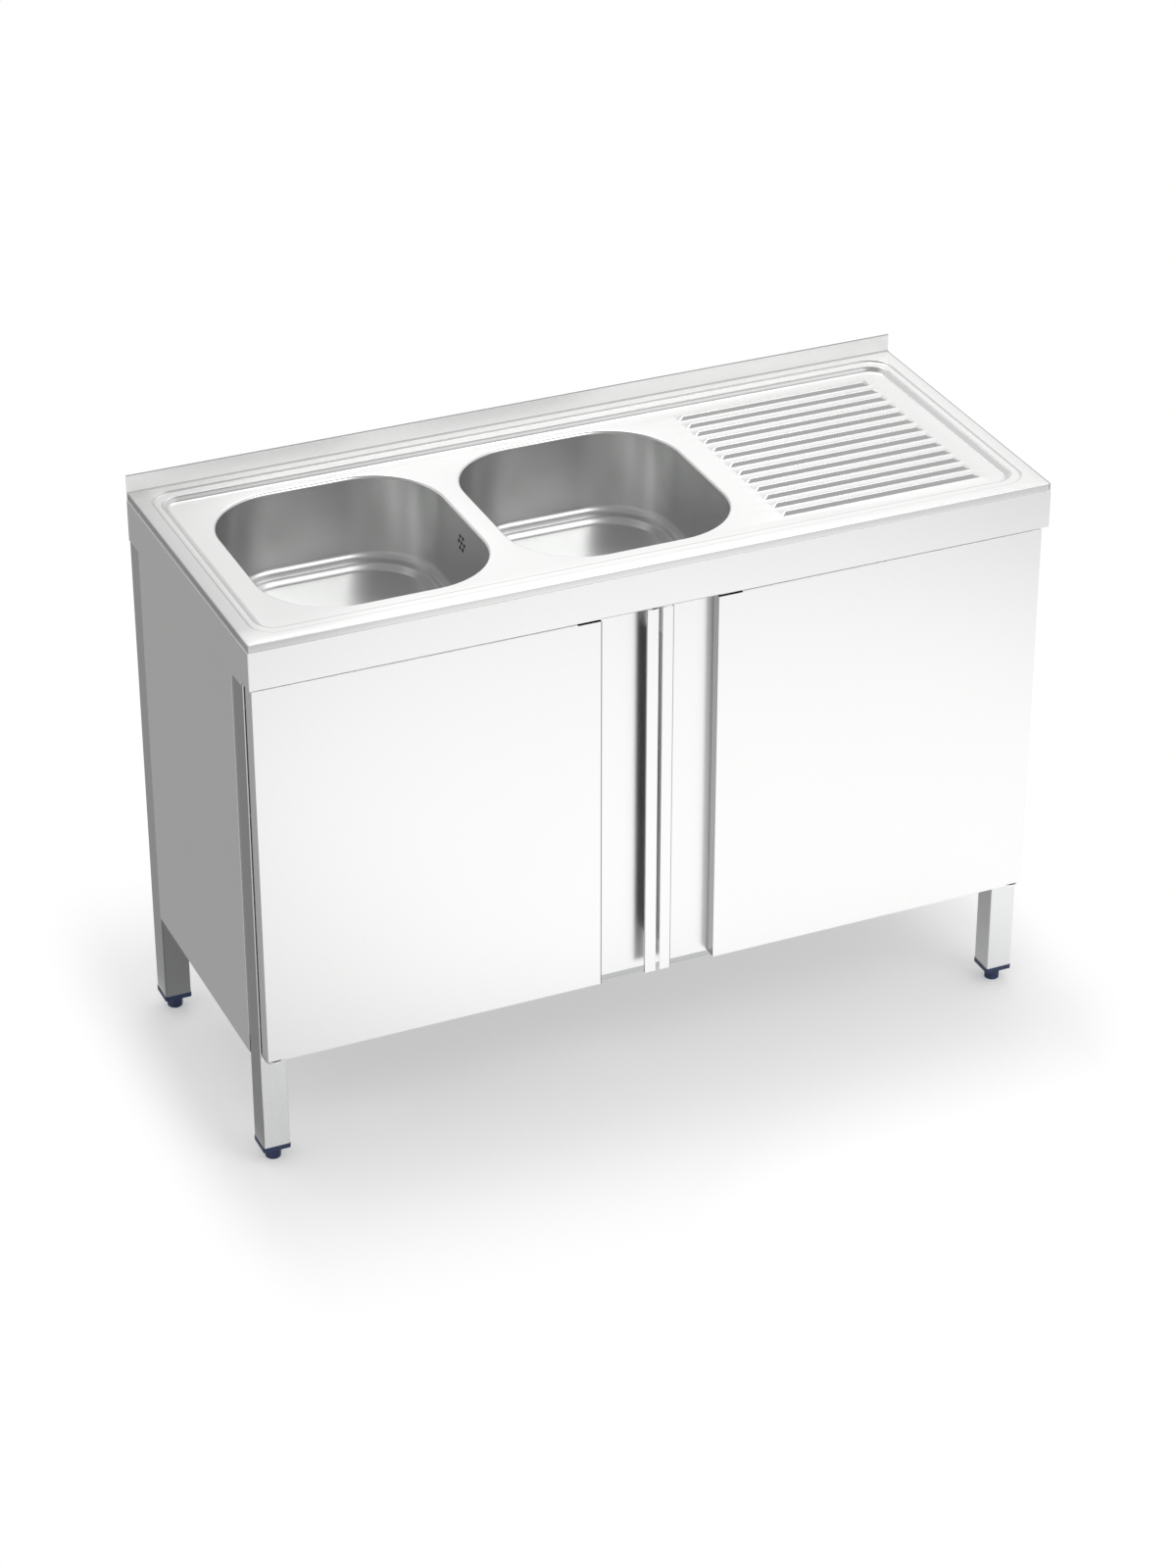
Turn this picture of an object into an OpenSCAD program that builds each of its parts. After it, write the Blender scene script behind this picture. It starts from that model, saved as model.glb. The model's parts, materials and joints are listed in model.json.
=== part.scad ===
// Stainless steel sink unit: a pressed worktop with two bowls and a ribbed drainer on a
// tube frame with sheet panels, two pivot-hung doors and four screw feet.
// Millimetres. X runs along the front, Y goes to the back, Z up, and the floor is Z = 0.

/* [Worktop] */
// Length of the worktop
top_l = 1200; // [1150:10:1500]
// Depth of the worktop, front edge to the back of the upstand
top_d = 500; // [490:5:600]
// Height of the rim above the floor, with the feet screwed home
top_z = 850; // [800:5:900]
// Thickness of the pressed sheet
sheet = 1; // [0.8:0.1:1.5]
// Height of the folded edge below the rim
edge_h = 12; // [10:1:20]
// Width of the flange that the folded edge turns in under the rim
edge_return = 12; // [11:1:14]
// Radius of the fold and of the worktop's upright corners
edge_r = 2.5; // [2:0.5:5]
// Height of the upstand above the rim
upstand_h = 26; // [20:1:60]
// Thickness of the hemmed upstand
upstand_t = 3; // [2.5:0.5:8]

/* [Pressed steps] */
// Flat rim at the ends, from the edge to the first step
rim_x = 20.5; // [18:0.5:30]
// Flat rim at the front and back
rim_y = 21; // [18:0.5:25]
// Drop of the first step
step1_drop = 2; // [1:0.5:4]
// Run of the first step
step1_run = 2.5; // [2:0.5:5]
// Flat ledge at the ends, between the two steps
ledge_x = 9; // [6:0.5:14]
// Flat ledge at the front and back
ledge_y = 13.5; // [10:0.5:15]
// Drop of the second step, down to the deck
step2_drop = 6; // [4:0.5:8]
// Run of the second step
step2_run = 8; // [5:0.5:10]
// Corner radius of the first step
step1_r = 36; // [30:1:45]
// Corner radius of the second step
step2_r = 30; // [20:1:40]

/* [Bowls] */
// Length of a bowl at its mouth
bowl_l = 330; // [300:5:340]
// Depth of a bowl at its mouth, front to back
bowl_d = 364; // [340:2:370]
// Corner radius of a bowl at its mouth
bowl_r = 109; // [106:1:130]
// Wall thickness of a bowl
bowl_t = 1; // [0.8:0.1:1.5]
// Left end of the worktop to the left bowl's wall
bowl_margin = 76; // [70:1:90]
// Distance between the walls of the two bowls
bowl_gap = 35; // [35:1:60]
// Radius of the lip that rolls from the deck into a bowl
lip_r = 4; // [3:0.5:6]
// Height of the wall, from the lip to the lower bend
wall_h = 110; // [80:5:160]
// How far the wall leans in over its height
wall_lean = 4.8; // [3:0.2:8]
// Radius of the bend at the foot of the wall
foot_r = 12; // [8:1:16]
// Width of the ledge inside the foot of the wall
ledge_w = 5; // [3:0.5:8]
// Drop from the ledge to the floor of the bowl
ledge_drop = 9; // [6:0.5:12]
// Fall of the floor towards the waste
floor_fall = 8; // [4:0.5:15]
// Depth of the seat pressed for the waste flange
seat_drop = 3; // [2:0.5:5]

/* [Drainer] */
// Spacing of the ribs
rib_pitch = 28.3; // [26:0.1:34]
// Width of a rib at its foot
rib_w = 19; // [14:0.5:21]
// Width of a rib's crest
rib_top = 2.5; // [2:0.5:6]
// Height of a rib
rib_h = 3.5; // [2:0.25:5]
// Length of the slope at a rib's end
rib_end = 10; // [6:1:16]
// Clear deck between the right bowl's wall and the ribs
rib_from_bowl = 42; // [30:1:60]
// Clear deck between the ribs and the step at the right end
rib_from_step = 33; // [20:1:50]
// Clear deck in front of the ribs and behind them
rib_margin = 24; // [15:1:30]

/* [Frame] */
// Width of the square leg tube
leg_w = 40; // [35:1:45]
// Wall of the leg tube
leg_t = 1.5; // [1.2:0.1:2]
// Outside corner radius of the leg tube
leg_r = 2.5; // [2.5:0.5:5]
// Width of the square rail tubes
rail_w = 25; // [20:1:26]
// Height of the underside of the lower rails
rail_z = 170; // [120:5:260]
// Thickness of the panels and the apron
panel_t = 1; // [0.8:0.1:1.2]
// Width of the flanges turned on the panels
flange_w = 15; // [12:1:18]
// Height of the front apron, from the rim to its lower edge
apron_h = 69; // [60:1:100]
// How far the side panels' full-depth band reaches below the apron
band_over = 6; // [3:1:30]

/* [Back panel] */
// Width of the service opening for the pipes
window_l = 700; // [300:10:900]
// Height of the service opening
window_h = 260; // [100:10:300]
// Height of the service opening's lower edge above the floor
window_z = 300; // [260:10:400]

/* [Bottom shelf] */
// Radius of the hole in the shelf under each waste
pipe_hole_r = 40; // [30:1:60]

/* [Doors] */
// Clearance between the doors and the ends of the unit, with the pair centred
door_side_gap = 6; // [5.5:0.5:12]
// Thickness of a door
door_t = 25; // [22:1:28]
// Gap between the two doors
meeting_gap = 6; // [4:1:16]
// How far the pair of doors is set to the left of the middle
pair_shift = 4; // [0:1:5]
// Clearance between a door's top edge and the apron
door_gap = 2; // [1.5:0.5:5]
// Height of the doors' lower edge above the floor
door_z = 192; // [189:1:240]
// Gap between the back of a door and the legs
door_back_gap = 6; // [5.5:0.5:9]
// Width of the finger recess at the meeting edge
recess_w = 85; // [60:1:110]
// Depth of the finger recess
recess_d = 20; // [15:1:20]
// Width of the lip in front of the finger recess
grip_w = 17; // [12:1:25]
// Length cut away from the recess wall at its upper end
fin_cut_top = 42; // [20:1:60]
// Length cut away from the recess wall at its lower end
fin_cut_low = 48; // [20:1:60]
// Length of the relief slot in a door's upper edge
relief_l = 36; // [20:1:40]
// Height of the relief slot
relief_h = 1.5; // [1:0.5:5]
// How far the relief slot reaches back from the door's front
relief_d = 9; // [4:0.5:15]
// Distance from a door's outer edge to its pivot
pivot_in = 12; // [10:0.5:12.5]
// Distance from a door's back to its pivot
pivot_back = 12; // [12:0.5:14]
// Radius of a pivot pin
pivot_r = 3; // [2.5:0.25:4]
// Radial clearance of a pivot pin in its bush
pivot_fit = 0.08; // [0.05:0.01:0.1]

/* [Feet] */
// Height from the floor to the end of the leg tube
foot_h = 28; // [24:1:40]
// Thickness of the square flange under a leg
insert_flange = 7; // [4:1:9]
// How far the flange stands out past the tube
insert_over = 0.5; // [0:0.25:1]
// Width of the hexagonal foot across its corners
foot_w = 25; // [20:1:30]
// Radius of the foot's threaded stem
stem_r = 5; // [4:0.5:6]
// Length of the stem inside the leg
stem_l = 40; // [36:1:55]
// Clearance between the stem and its thread in the leg insert
stem_fit = 0.1; // [0.05:0.01:0.1]

/* [Waste] */
// Radius of the waste's flange
waste_flange_r = 56; // [50:0.5:56.5]
// Radius of the strainer cup
waste_cup_r = 43; // [38:0.5:44]
// Depth of the strainer cup
waste_cup_h = 52; // [40:1:60]
// Outside radius of the threaded tail, a G 1 1/2 thread
tail_r = 23.9; // [20:0.1:24]
// Length of the threaded tail
tail_l = 28; // [22:1:35]
// Outside radius of the overflow pipe
pipe_r = 10; // [8:0.5:11]
// Depth of the overflow holes below the deck
overflow_drop = 40; // [34:1:60]
// Radius of an overflow hole
overflow_r = 3.2; // [2.5:0.1:4]
// Distance from the middle overflow hole to those round it
overflow_pitch = 10; // [9:0.5:12]

/* [Hidden] */
$fn = 64;
steel = [0.80, 0.81, 0.82];
steel_dull = [0.55, 0.57, 0.60];
navy = [0.10, 0.14, 0.28];
black = [0.12, 0.12, 0.13];
plastic = [0.93, 0.93, 0.92];

eps = 0.01;

// Worktop: half sizes of the outline and of each pressed contour, and their levels
hx = top_l / 2;
hy = top_d / 2;
s1x = hx - rim_x;
s1y = hy - rim_y;
l1x = s1x - step1_run;
l1y = s1y - step1_run;
s2x = l1x - ledge_x;
s2y = l1y - ledge_y;
dkx = s2x - step2_run;
dky = s2y - step2_run;
ledge_z = top_z - step1_drop;
deck_z = ledge_z - step2_drop;
edge_z = top_z - edge_h;

// Bowls
bhx = bowl_l / 2;
bhy = bowl_d / 2;
bowl1_x = bowl_margin + bhx - hx;
bowl2_x = bowl1_x + bowl_l + bowl_gap;
mouth_z = deck_z - lip_r;
foot_z = mouth_z - wall_h;
seat_hole_r = waste_cup_r + 2;
seat_r = waste_flange_r + 1;
floor_corner = 9;
seat_clear = 4;
floor_in = min(bowl_r - floor_corner, bhx - seat_r - seat_clear, bhy - seat_r - seat_clear);

// Frame
frame_top = edge_z - panel_t;
panel_z = rail_z - panel_t;
leg_front_y = door_t + door_back_gap - hy;
leg_rear_y = hy - panel_t;
leg_cx = hx - leg_w / 2;
leg_cyf = leg_front_y + leg_w / 2;
leg_cyr = leg_rear_y - leg_w / 2;
apron_z = top_z - apron_h;
band_z = apron_z - band_over;
rail_top = rail_z + rail_w;
shelf_z = rail_top + panel_t;

// Doors
door_w = hx - door_side_gap - meeting_gap / 2;
door_top = apron_z - door_gap;
door_hgt = door_top - door_z;
door_yf = -hy;
door_yr = door_yf + door_t;
left_x1 = -pair_shift - meeting_gap / 2;
left_x0 = left_x1 - door_w;
right_x0 = left_x1 + meeting_gap;
right_x1 = right_x0 + door_w;
pivot_y = door_yr - pivot_back;
bush_wall = 2.5;
bush_flange = 2;
bush_r = pivot_r + bush_wall;
bush_flange_r = bush_r + bush_flange;
bush_h = 14;
bracket_t = 3;
bracket_gap = 1.5;

// Rounded rectangle about the origin, half sizes a and b, corner radius r
module rounded(a, b, r) {
  square([2 * (a - r), 2 * b], center = true);
  square([2 * a, 2 * (b - r)], center = true);
  for (sx = [-1, 1], sy = [-1, 1])
    translate([sx * (a - r), sy * (b - r)]) circle(r);
}

// A pressed profile carried round a rounded rectangle; its points are [outwards, up]
module pressed_ring(a, b, r, pts) {
  for (k = [0:3])
    translate([(k == 0 || k == 3) ? a - r : r - a, k < 2 ? b - r : r - b, 0])
      rotate(90 * k)
        rotate_extrude(angle = 90) polygon([for (p = pts) [r + p[0], p[1]]]);
  for (m = [0, 1]) {
    mirror([0, m, 0]) translate([r - a, b, 0])
      rotate([90, 0, 90]) linear_extrude(2 * (a - r)) polygon(pts);
    mirror([m, 0, 0]) translate([a, b - r, 0])
      rotate([90, 0, 0]) linear_extrude(2 * (b - r)) polygon(pts);
  }
}

// Points of an arc about c from angle a0 to angle a1 in n steps
function arc(c, r, a0, a1, n) =
  [for (i = [0:n]) let (a = a0 + (a1 - a0) * i / n) [c[0] + r * cos(a), c[1] + r * sin(a)]];

// Worktop

// Folded edge: over the arris, down, with the sheet's thickness
function edge_profile() = concat(
  arc([-edge_r, top_z - edge_r], edge_r, 90, 0, 4),
  [[0, edge_z], [-sheet, edge_z]],
  arc([-edge_r, top_z - edge_r], edge_r - sheet, 0, 90, 4));

// A sloping step of the sheet between two levels, going inwards from u = 0
function step_profile(run, z_high, z_low) =
  [[0, z_high], [0, z_high - sheet], [-run, z_low - sheet], [-run, z_low]];

// The lip from the deck into a bowl
function lip_profile() = concat(
  arc([lip_r, mouth_z], lip_r, 90, 180, 6),
  arc([lip_r, mouth_z], lip_r - sheet, 180, 90, 6));

module at_bowls() {
  for (x = [bowl1_x, bowl2_x]) translate([x, 0, 0]) children();
}

// Drainer ribs: a row of ridges along X, cut to sloping ends by a second prism
rib_x0 = bowl2_x + bhx + rib_from_bowl;
rib_x1 = dkx - rib_from_step;
rib_n = 1 + floor((2 * (dky - rib_margin) - rib_w) / rib_pitch);
crest_run = 0.6;
crest_drop = 0.35;

module ribs(side, top_w, foot_at, height) {
  top = foot_at + height;
  intersection() {
    union() for (i = [0:rib_n - 1])
      translate([rib_x0, (i - (rib_n - 1) / 2) * rib_pitch, 0])
        rotate([90, 0, 90]) linear_extrude(rib_x1 - rib_x0)
          polygon([[-side, foot_at], [side, foot_at], [top_w + crest_run, top - crest_drop],
                   [top_w, top], [-top_w, top], [-top_w - crest_run, top - crest_drop]]);
    translate([0, dky, 0]) rotate([90, 0, 0]) linear_extrude(2 * dky)
      polygon([[rib_x0 + rib_w / 2 - side, foot_at], [rib_x1 - rib_w / 2 + side, foot_at],
               [rib_x1 - rib_end, top], [rib_x0 + rib_end, top]]);
  }
}

module worktop() color(steel) difference() {
  worktop_sheet();
  at_worktop_screws() screw_hole();
}

module worktop_sheet() {
  // flat rim
  translate([0, 0, top_z - sheet]) linear_extrude(sheet) difference() {
    square([2 * (hx - edge_r), 2 * (hy - edge_r)], center = true);
    rounded(s1x, s1y, step1_r);
  }
  pressed_ring(hx, hy, edge_r, edge_profile());
  // flange under the rim that rests on the frame
  translate([0, 0, edge_z]) linear_extrude(sheet) difference() {
    rounded(hx, hy, edge_r);
    square([2 * (hx - edge_return), 2 * (hy - edge_return)], center = true);
  }
  pressed_ring(s1x, s1y, step1_r, step_profile(step1_run, top_z, ledge_z));
  translate([0, 0, ledge_z - sheet]) linear_extrude(sheet) difference() {
    rounded(l1x, l1y, step1_r - step1_run);
    rounded(s2x, s2y, step2_r);
  }
  pressed_ring(s2x, s2y, step2_r, step_profile(step2_run, ledge_z, deck_z));
  // deck with the two mouths and the ribs
  difference() {
    union() {
      translate([0, 0, deck_z - sheet]) linear_extrude(sheet) difference() {
        rounded(dkx, dky, step2_r - step2_run);
        at_bowls() rounded(bhx + lip_r, bhy + lip_r, bowl_r + lip_r);
      }
      ribs(rib_w / 2, rib_top / 2, deck_z - sheet / 2, rib_h + sheet / 2);
    }
    ribs(rib_w / 2 - sheet, rib_top / 2, deck_z - sheet - eps, rib_h + eps);
  }
  at_bowls() pressed_ring(bhx, bhy, bowl_r, lip_profile());
  // upstand with its hemmed top and the bend at its foot
  translate([-hx, 0, 0]) rotate([90, 0, 90]) linear_extrude(top_l) {
    translate([hy - upstand_t, top_z - sheet])
      square([upstand_t, upstand_h + sheet - upstand_t / 2]);
    translate([hy - upstand_t / 2, top_z + upstand_h - upstand_t / 2]) circle(upstand_t / 2);
    difference() {
      translate([hy - upstand_t - edge_r, top_z - sheet / 2]) square([edge_r + eps, edge_r + sheet / 2]);
      translate([hy - upstand_t - edge_r, top_z + edge_r]) circle(edge_r);
    }
  }
}

// Bowls

// Unit normal of the step from p to q, pointing to the dry side
function dry_normal(p, q) = let (d = q - p) [d[1], -d[0]] / norm(d);

// The path v moved to the dry side by t, with mitred corners
function moved(v, t) = [for (i = [0:len(v) - 1])
  let (n1 = dry_normal(v[max(i - 1, 0)], v[max(i, 1)]),
       n2 = dry_normal(v[min(i, len(v) - 2)], v[min(i + 1, len(v) - 1)]))
  v[i] + t * (n1 + n2) / (1 + n1 * n2)];

ledge_in = wall_lean + foot_r + ledge_w;
ledge_top = foot_z - foot_r;
bend_r = ledge_drop / 2;
floor_z = ledge_top - ledge_drop;
centre_z = floor_z - floor_fall;
seat_z = centre_z - seat_drop;
lean = atan(wall_lean / wall_h);

// The wet side of a bowl below its lip: [inwards, height]
function wet_path() = concat(
  [[0, mouth_z]],
  arc([wall_lean + foot_r, foot_z], foot_r, 180, 270, 5),
  arc([ledge_in, ledge_top - bend_r], bend_r, 90, 0, 3),
  arc([ledge_in + 2 * bend_r, ledge_top - bend_r], bend_r, 210, 270, 2),
  [[floor_in, centre_z]]);

function bowl_profile() =
  let (wet = wet_path(), dry = moved(wet, bowl_t), n = len(wet) - 1)
  concat(
    [for (p = wet) [-p[0], p[1]]],
    [[-floor_in, centre_z - bowl_t]],
    [for (i = [n - 1:-1:1]) [-dry[i][0], dry[i][1]]],
    [[bowl_t / cos(lean), mouth_z]]);

// X of the dry side of a bowl's end wall at height z
function dry_x(z) = bhx + bowl_t / cos(lean) - (mouth_z - z) * tan(lean);

overflow_z = deck_z - overflow_drop;
hole_reach = 10;
seat_slope = 2;

module at_overflow_holes() translate([0, 0, overflow_z]) {
  children();
  for (k = [0:5]) translate([0, overflow_pitch * cos(60 * k), overflow_pitch * sin(60 * k)]) children();
}

module bowl() color(steel_dull) {
  difference() {
    pressed_ring(bhx, bhy, bowl_r, bowl_profile());
    at_overflow_holes() translate([bhx - hole_reach, 0, 0]) rotate([0, 90, 0])
      cylinder(r = overflow_r, h = 2 * hole_reach);
  }
  // floor round the waste, with the pressed seat
  translate([0, 0, centre_z - bowl_t]) linear_extrude(bowl_t) difference() {
    rounded(bhx - floor_in, bhy - floor_in, bowl_r - floor_in);
    circle(seat_r + seat_slope);
  }
  rotate_extrude() polygon([
    [seat_r + seat_slope, centre_z], [seat_r, seat_z], [seat_hole_r, seat_z],
    [seat_hole_r, seat_z - bowl_t], [seat_r + seat_slope / 3, seat_z - bowl_t],
    [seat_r + seat_slope, centre_z - bowl_t]]);
}

// The bowls are mirror images: their overflow holes lie on either side of the gap between them
module at_left_bowl() translate([bowl1_x, 0, 0]) children();
module at_right_bowl() translate([bowl2_x, 0, 0]) mirror([1, 0, 0]) children();

module bowl_left() at_left_bowl() bowl();
module bowl_right() at_right_bowl() bowl();

// Hat channel spot-welded across the underside of the drainer, in the middle of its length
stiff_w = 36;
stiff_h = 24;
stiff_lip = 12;
stiff_clear = 3;
stiff_x = (rib_x0 + rib_x1) / 2;
stiff_hy = -leg_cyf - rail_w / 2 - stiff_clear;
pad_t = 2;
pad_clear = 4;
pad_end = 20;

module drainer_stiffener() color(steel_dull)
  translate([stiff_x, stiff_hy, deck_z - sheet]) rotate([90, 0, 0]) linear_extrude(2 * stiff_hy) {
    for (s = [-1, 1]) {
      translate([s * (stiff_w + stiff_lip - panel_t) / 2, -panel_t / 2])
        square([stiff_lip + panel_t, panel_t], center = true);
      translate([s * (stiff_w - panel_t) / 2, -stiff_h / 2])
        square([panel_t, stiff_h], center = true);
    }
    translate([0, -stiff_h + panel_t / 2]) square([stiff_w, panel_t], center = true);
  }

// Damping pads glued under the drainer, one on each side of the channel
module sound_pads() color(black) {
  clear = stiff_w / 2 + stiff_lip + pad_clear;
  pad_hy = stiff_hy - pad_end;
  ends = [[rib_x0 - rib_from_bowl / 3, stiff_x - clear], [stiff_x + clear, dkx - pad_clear]];
  for (e = ends) translate([e[0], -pad_hy, deck_z - sheet - pad_t])
    cube([e[1] - e[0], 2 * pad_hy, pad_t]);
}

// Fastener places

screw_r = 2;
screw_past = 3;
screw_hole_r = screw_r + 0.1;
head_r = 4.2;
head_h = 2.4;
worktop_screw_x = 0.75 * hx;
worktop_screw_in = edge_return / 2;
leg_screw_in = 60;
leg_screw_z = [shelf_z + leg_screw_in, (shelf_z + band_z) / 2, band_z - leg_screw_in];
shelf_screw_y = 120;

// A pan-headed screw along +Z, its head under the origin's plane
module screw(len) rotate_extrude() polygon([
  [0, -head_h], [head_r - 1.6, -head_h], [head_r - 0.3, 1 - head_h], [head_r, 0],
  [screw_r, 0], [screw_r, len], [0, len]]);

module at_worktop_screws() {
  for (x = [-worktop_screw_x, -worktop_screw_x / 3, worktop_screw_x / 3, worktop_screw_x], s = [-1, 1])
    translate([x, s * (hy - worktop_screw_in), frame_top]) children();
}

module at_side_screws() {
  for (sx = [-1, 1], z = leg_screw_z) {
    translate([sx * (hx - flange_w / 2), leg_front_y + leg_w + panel_t, z]) rotate([90, 0, 0]) children();
    translate([sx * (hx - flange_w / 2), leg_rear_y - leg_w - panel_t, z]) rotate([-90, 0, 0]) children();
  }
}

module at_back_screws() {
  for (sx = [-1, 1], z = leg_screw_z)
    translate([sx * (hx - leg_w - panel_t), hy - flange_w / 2 - panel_t, z]) rotate([0, sx * 90, 0])
      children();
}

module at_shelf_screws() {
  for (sx = [-1, 1], sy = [-1, 1])
    translate([sx * leg_cx, sy * shelf_screw_y, shelf_z]) rotate([180, 0, 0]) children();
}

module worktop_screws() color(steel) at_worktop_screws() screw(panel_t + sheet + screw_past);
module side_panel_screws() color(steel) at_side_screws() screw(panel_t + leg_t + screw_past);
module back_panel_screws() color(steel) at_back_screws() screw(panel_t + leg_t + screw_past);
module shelf_screws() color(steel) at_shelf_screws() screw(panel_t + leg_t + screw_past);

// Hole for a screw, long enough to pass two sheets
module screw_hole() translate([0, 0, -4]) cylinder(r = screw_hole_r, h = 12);

// Frame

module leg_at(sx, y) color(steel) difference() {
  translate([sx * leg_cx, y, foot_h]) linear_extrude(frame_top - foot_h) difference() {
    rounded(leg_w / 2, leg_w / 2, leg_r);
    rounded(leg_w / 2 - leg_t, leg_w / 2 - leg_t, leg_r - leg_t);
  }
  at_side_screws() screw_hole();
  at_back_screws() screw_hole();
}

module leg_front_left() leg_at(-1, leg_cyf);
module leg_front_right() leg_at(1, leg_cyf);
module leg_rear_left() leg_at(-1, leg_cyr);
module leg_rear_right() leg_at(1, leg_cyr);

// Square tube of length len along X, centred on the origin, its underside at Z = 0
module rail(len) {
  bore = rail_w - 2 * leg_t;
  difference() {
    translate([-len / 2, -rail_w / 2, 0]) cube([len, rail_w, rail_w]);
    translate([-len / 2 - 1, -bore / 2, leg_t]) cube([len + 2, bore, bore]);
  }
}

// The four rails welded between the legs at one level, the rear one set forward for the screws
rail_cyr = leg_cyr - 4;

module rail_frame(z) {
  for (y = [leg_cyf, rail_cyr]) translate([0, y, z]) rail(2 * hx - 2 * leg_w);
  for (sx = [-1, 1])
    translate([sx * leg_cx, (leg_cyf + leg_cyr) / 2, z]) rotate(90) rail(leg_cyr - leg_cyf - leg_w);
}

module top_rails() color(steel_dull) rail_frame(frame_top - rail_w);
module lower_rails() color(steel_dull) difference() {
  rail_frame(rail_z);
  at_shelf_screws() screw_hole();
}

// Panels

// The upright flanges stop short of the shelf and of the top rails
flange_clear = 4;
flange_z0 = shelf_z + flange_clear;
flange_z1 = frame_top - rail_w - flange_clear;

// One side panel: full depth in its band, between the legs below, flanges turned inwards
module side_panel() {
  y0 = leg_front_y + leg_w;
  y1 = leg_rear_y - leg_w;
  translate([-hx, 0, 0]) rotate([90, 0, -90]) linear_extrude(panel_t) mirror([1, 0])
    polygon([[-hy, apron_z], [-hy, edge_z], [hy - panel_t, edge_z], [hy - panel_t, band_z], [y1, band_z],
             [y1, panel_z], [y0, panel_z], [y0, band_z], [leg_front_y, band_z], [leg_front_y, apron_z]]);
  translate([-hx, y0, panel_z]) cube([flange_w, y1 - y0, panel_t]);
  translate([-hx, leg_front_y, frame_top]) cube([flange_w, hy - flange_w - leg_front_y, panel_t]);
  for (y = [y0, y1 - panel_t])
    translate([-hx, y, flange_z0]) cube([flange_w, panel_t, flange_z1 - flange_z0]);
}

module side_panel_left() color(steel) difference() {
  side_panel();
  at_side_screws() screw_hole();
}

module side_panel_right() color(steel) difference() {
  mirror([1, 0, 0]) side_panel();
  at_side_screws() screw_hole();
}

module back_panel() color(steel) difference() {
  union() {
    x1 = hx - leg_w;
    translate([0, hy, 0]) rotate([90, 0, 0]) linear_extrude(panel_t) difference() {
      polygon([[-hx, edge_z], [-hx, band_z], [-x1, band_z], [-x1, panel_z],
               [x1, panel_z], [x1, band_z], [hx, band_z], [hx, edge_z]]);
      translate([-window_l / 2, window_z]) square([window_l, window_h]);
    }
    translate([-x1, hy - flange_w, panel_z]) cube([2 * x1, flange_w - panel_t, panel_t]);
    translate([-hx, hy - flange_w, frame_top]) cube([2 * hx, flange_w - panel_t, panel_t]);
    for (x = [-x1, x1 - panel_t])
      translate([x, hy - flange_w, flange_z0])
        cube([panel_t, flange_w - panel_t, flange_z1 - flange_z0]);
  }
  at_back_screws() screw_hole();
  at_worktop_screws() screw_hole();
}

module front_apron() color(steel) difference() {
  translate([-hx, 0, 0]) rotate([90, 0, 90]) linear_extrude(2 * hx) {
    translate([-hy, apron_z]) square([panel_t, edge_z - apron_z]);
    for (z = [apron_z, frame_top])
      translate([-hy, z]) square([leg_front_y + hy, panel_t]);
  }
  at_worktop_screws() screw_hole();
  at_pivots() translate([0, pivot_y, apron_z - 1]) cylinder(r = pivot_r + 1, h = panel_t + 2);
}

// Floor of the cabinet, notched round the legs, with a lip in front of the front rail and a
// round hole under each waste for its pipe
notch_gap = 0.5;

module bottom_shelf() color(steel) difference() {
  union() {
    y0 = leg_cyf - rail_w / 2 - panel_t;
    x1 = hx - leg_w - notch_gap;
    translate([0, 0, rail_top]) linear_extrude(panel_t) difference() {
      translate([-hx, y0]) square([2 * hx, leg_rear_y - y0]);
      for (sx = [-1, 1], y = [leg_cyf, leg_cyr])
        translate([sx * leg_cx, y]) square(leg_w + 2 * notch_gap, center = true);
    }
    translate([-x1, y0, rail_top - flange_w]) cube([2 * x1, panel_t, flange_w]);
  }
  at_shelf_screws() screw_hole();
  at_bowls() translate([0, 0, rail_top - 1]) cylinder(r = pipe_hole_r, h = panel_t + 2);
}

// Magnet catches on a bracket on the front rail, one for each door
magnet_w = 22;
magnet_h = 16;
magnet_in = 12;
magnet_up = 4;
pole_r = 3;
pole_h = 1;
strike_t = 1;
strike_gap = 0.2;
catch_t = 1.5;
catch_margin = 3;
catch_w = meeting_gap + 2 * (magnet_in + magnet_w + catch_margin);
catch_drop = 42;
catch_z = door_top - catch_drop;
rail_face_y = leg_cyf - rail_w / 2;

module catch_bracket() color(steel)
  translate([-pair_shift - catch_w / 2, rail_face_y - catch_t, catch_z])
    cube([catch_w, catch_t, frame_top - flange_clear - catch_z]);

module magnet_catches() color(plastic) {
  y0 = door_yr + strike_t + strike_gap + pole_h;
  for (s = [-1, 1])
    translate([s * (meeting_gap / 2 + magnet_in + magnet_w / 2) - pair_shift, y0, catch_z + magnet_up]) {
      translate([-magnet_w / 2, 0, 0]) cube([magnet_w, rail_face_y - catch_t - y0, magnet_h]);
      for (x = [-1, 1]) translate([x * magnet_w / 5, -pole_h, magnet_h / 2])
        rotate([-90, 0, 0]) cylinder(r = pole_r, h = pole_h);
    }
}

// Feet

plug_fit = 0.2;
plug_wall = 2.2;
plug_h = insert_flange + stem_l - 4;
boss_wall = 4;

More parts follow.
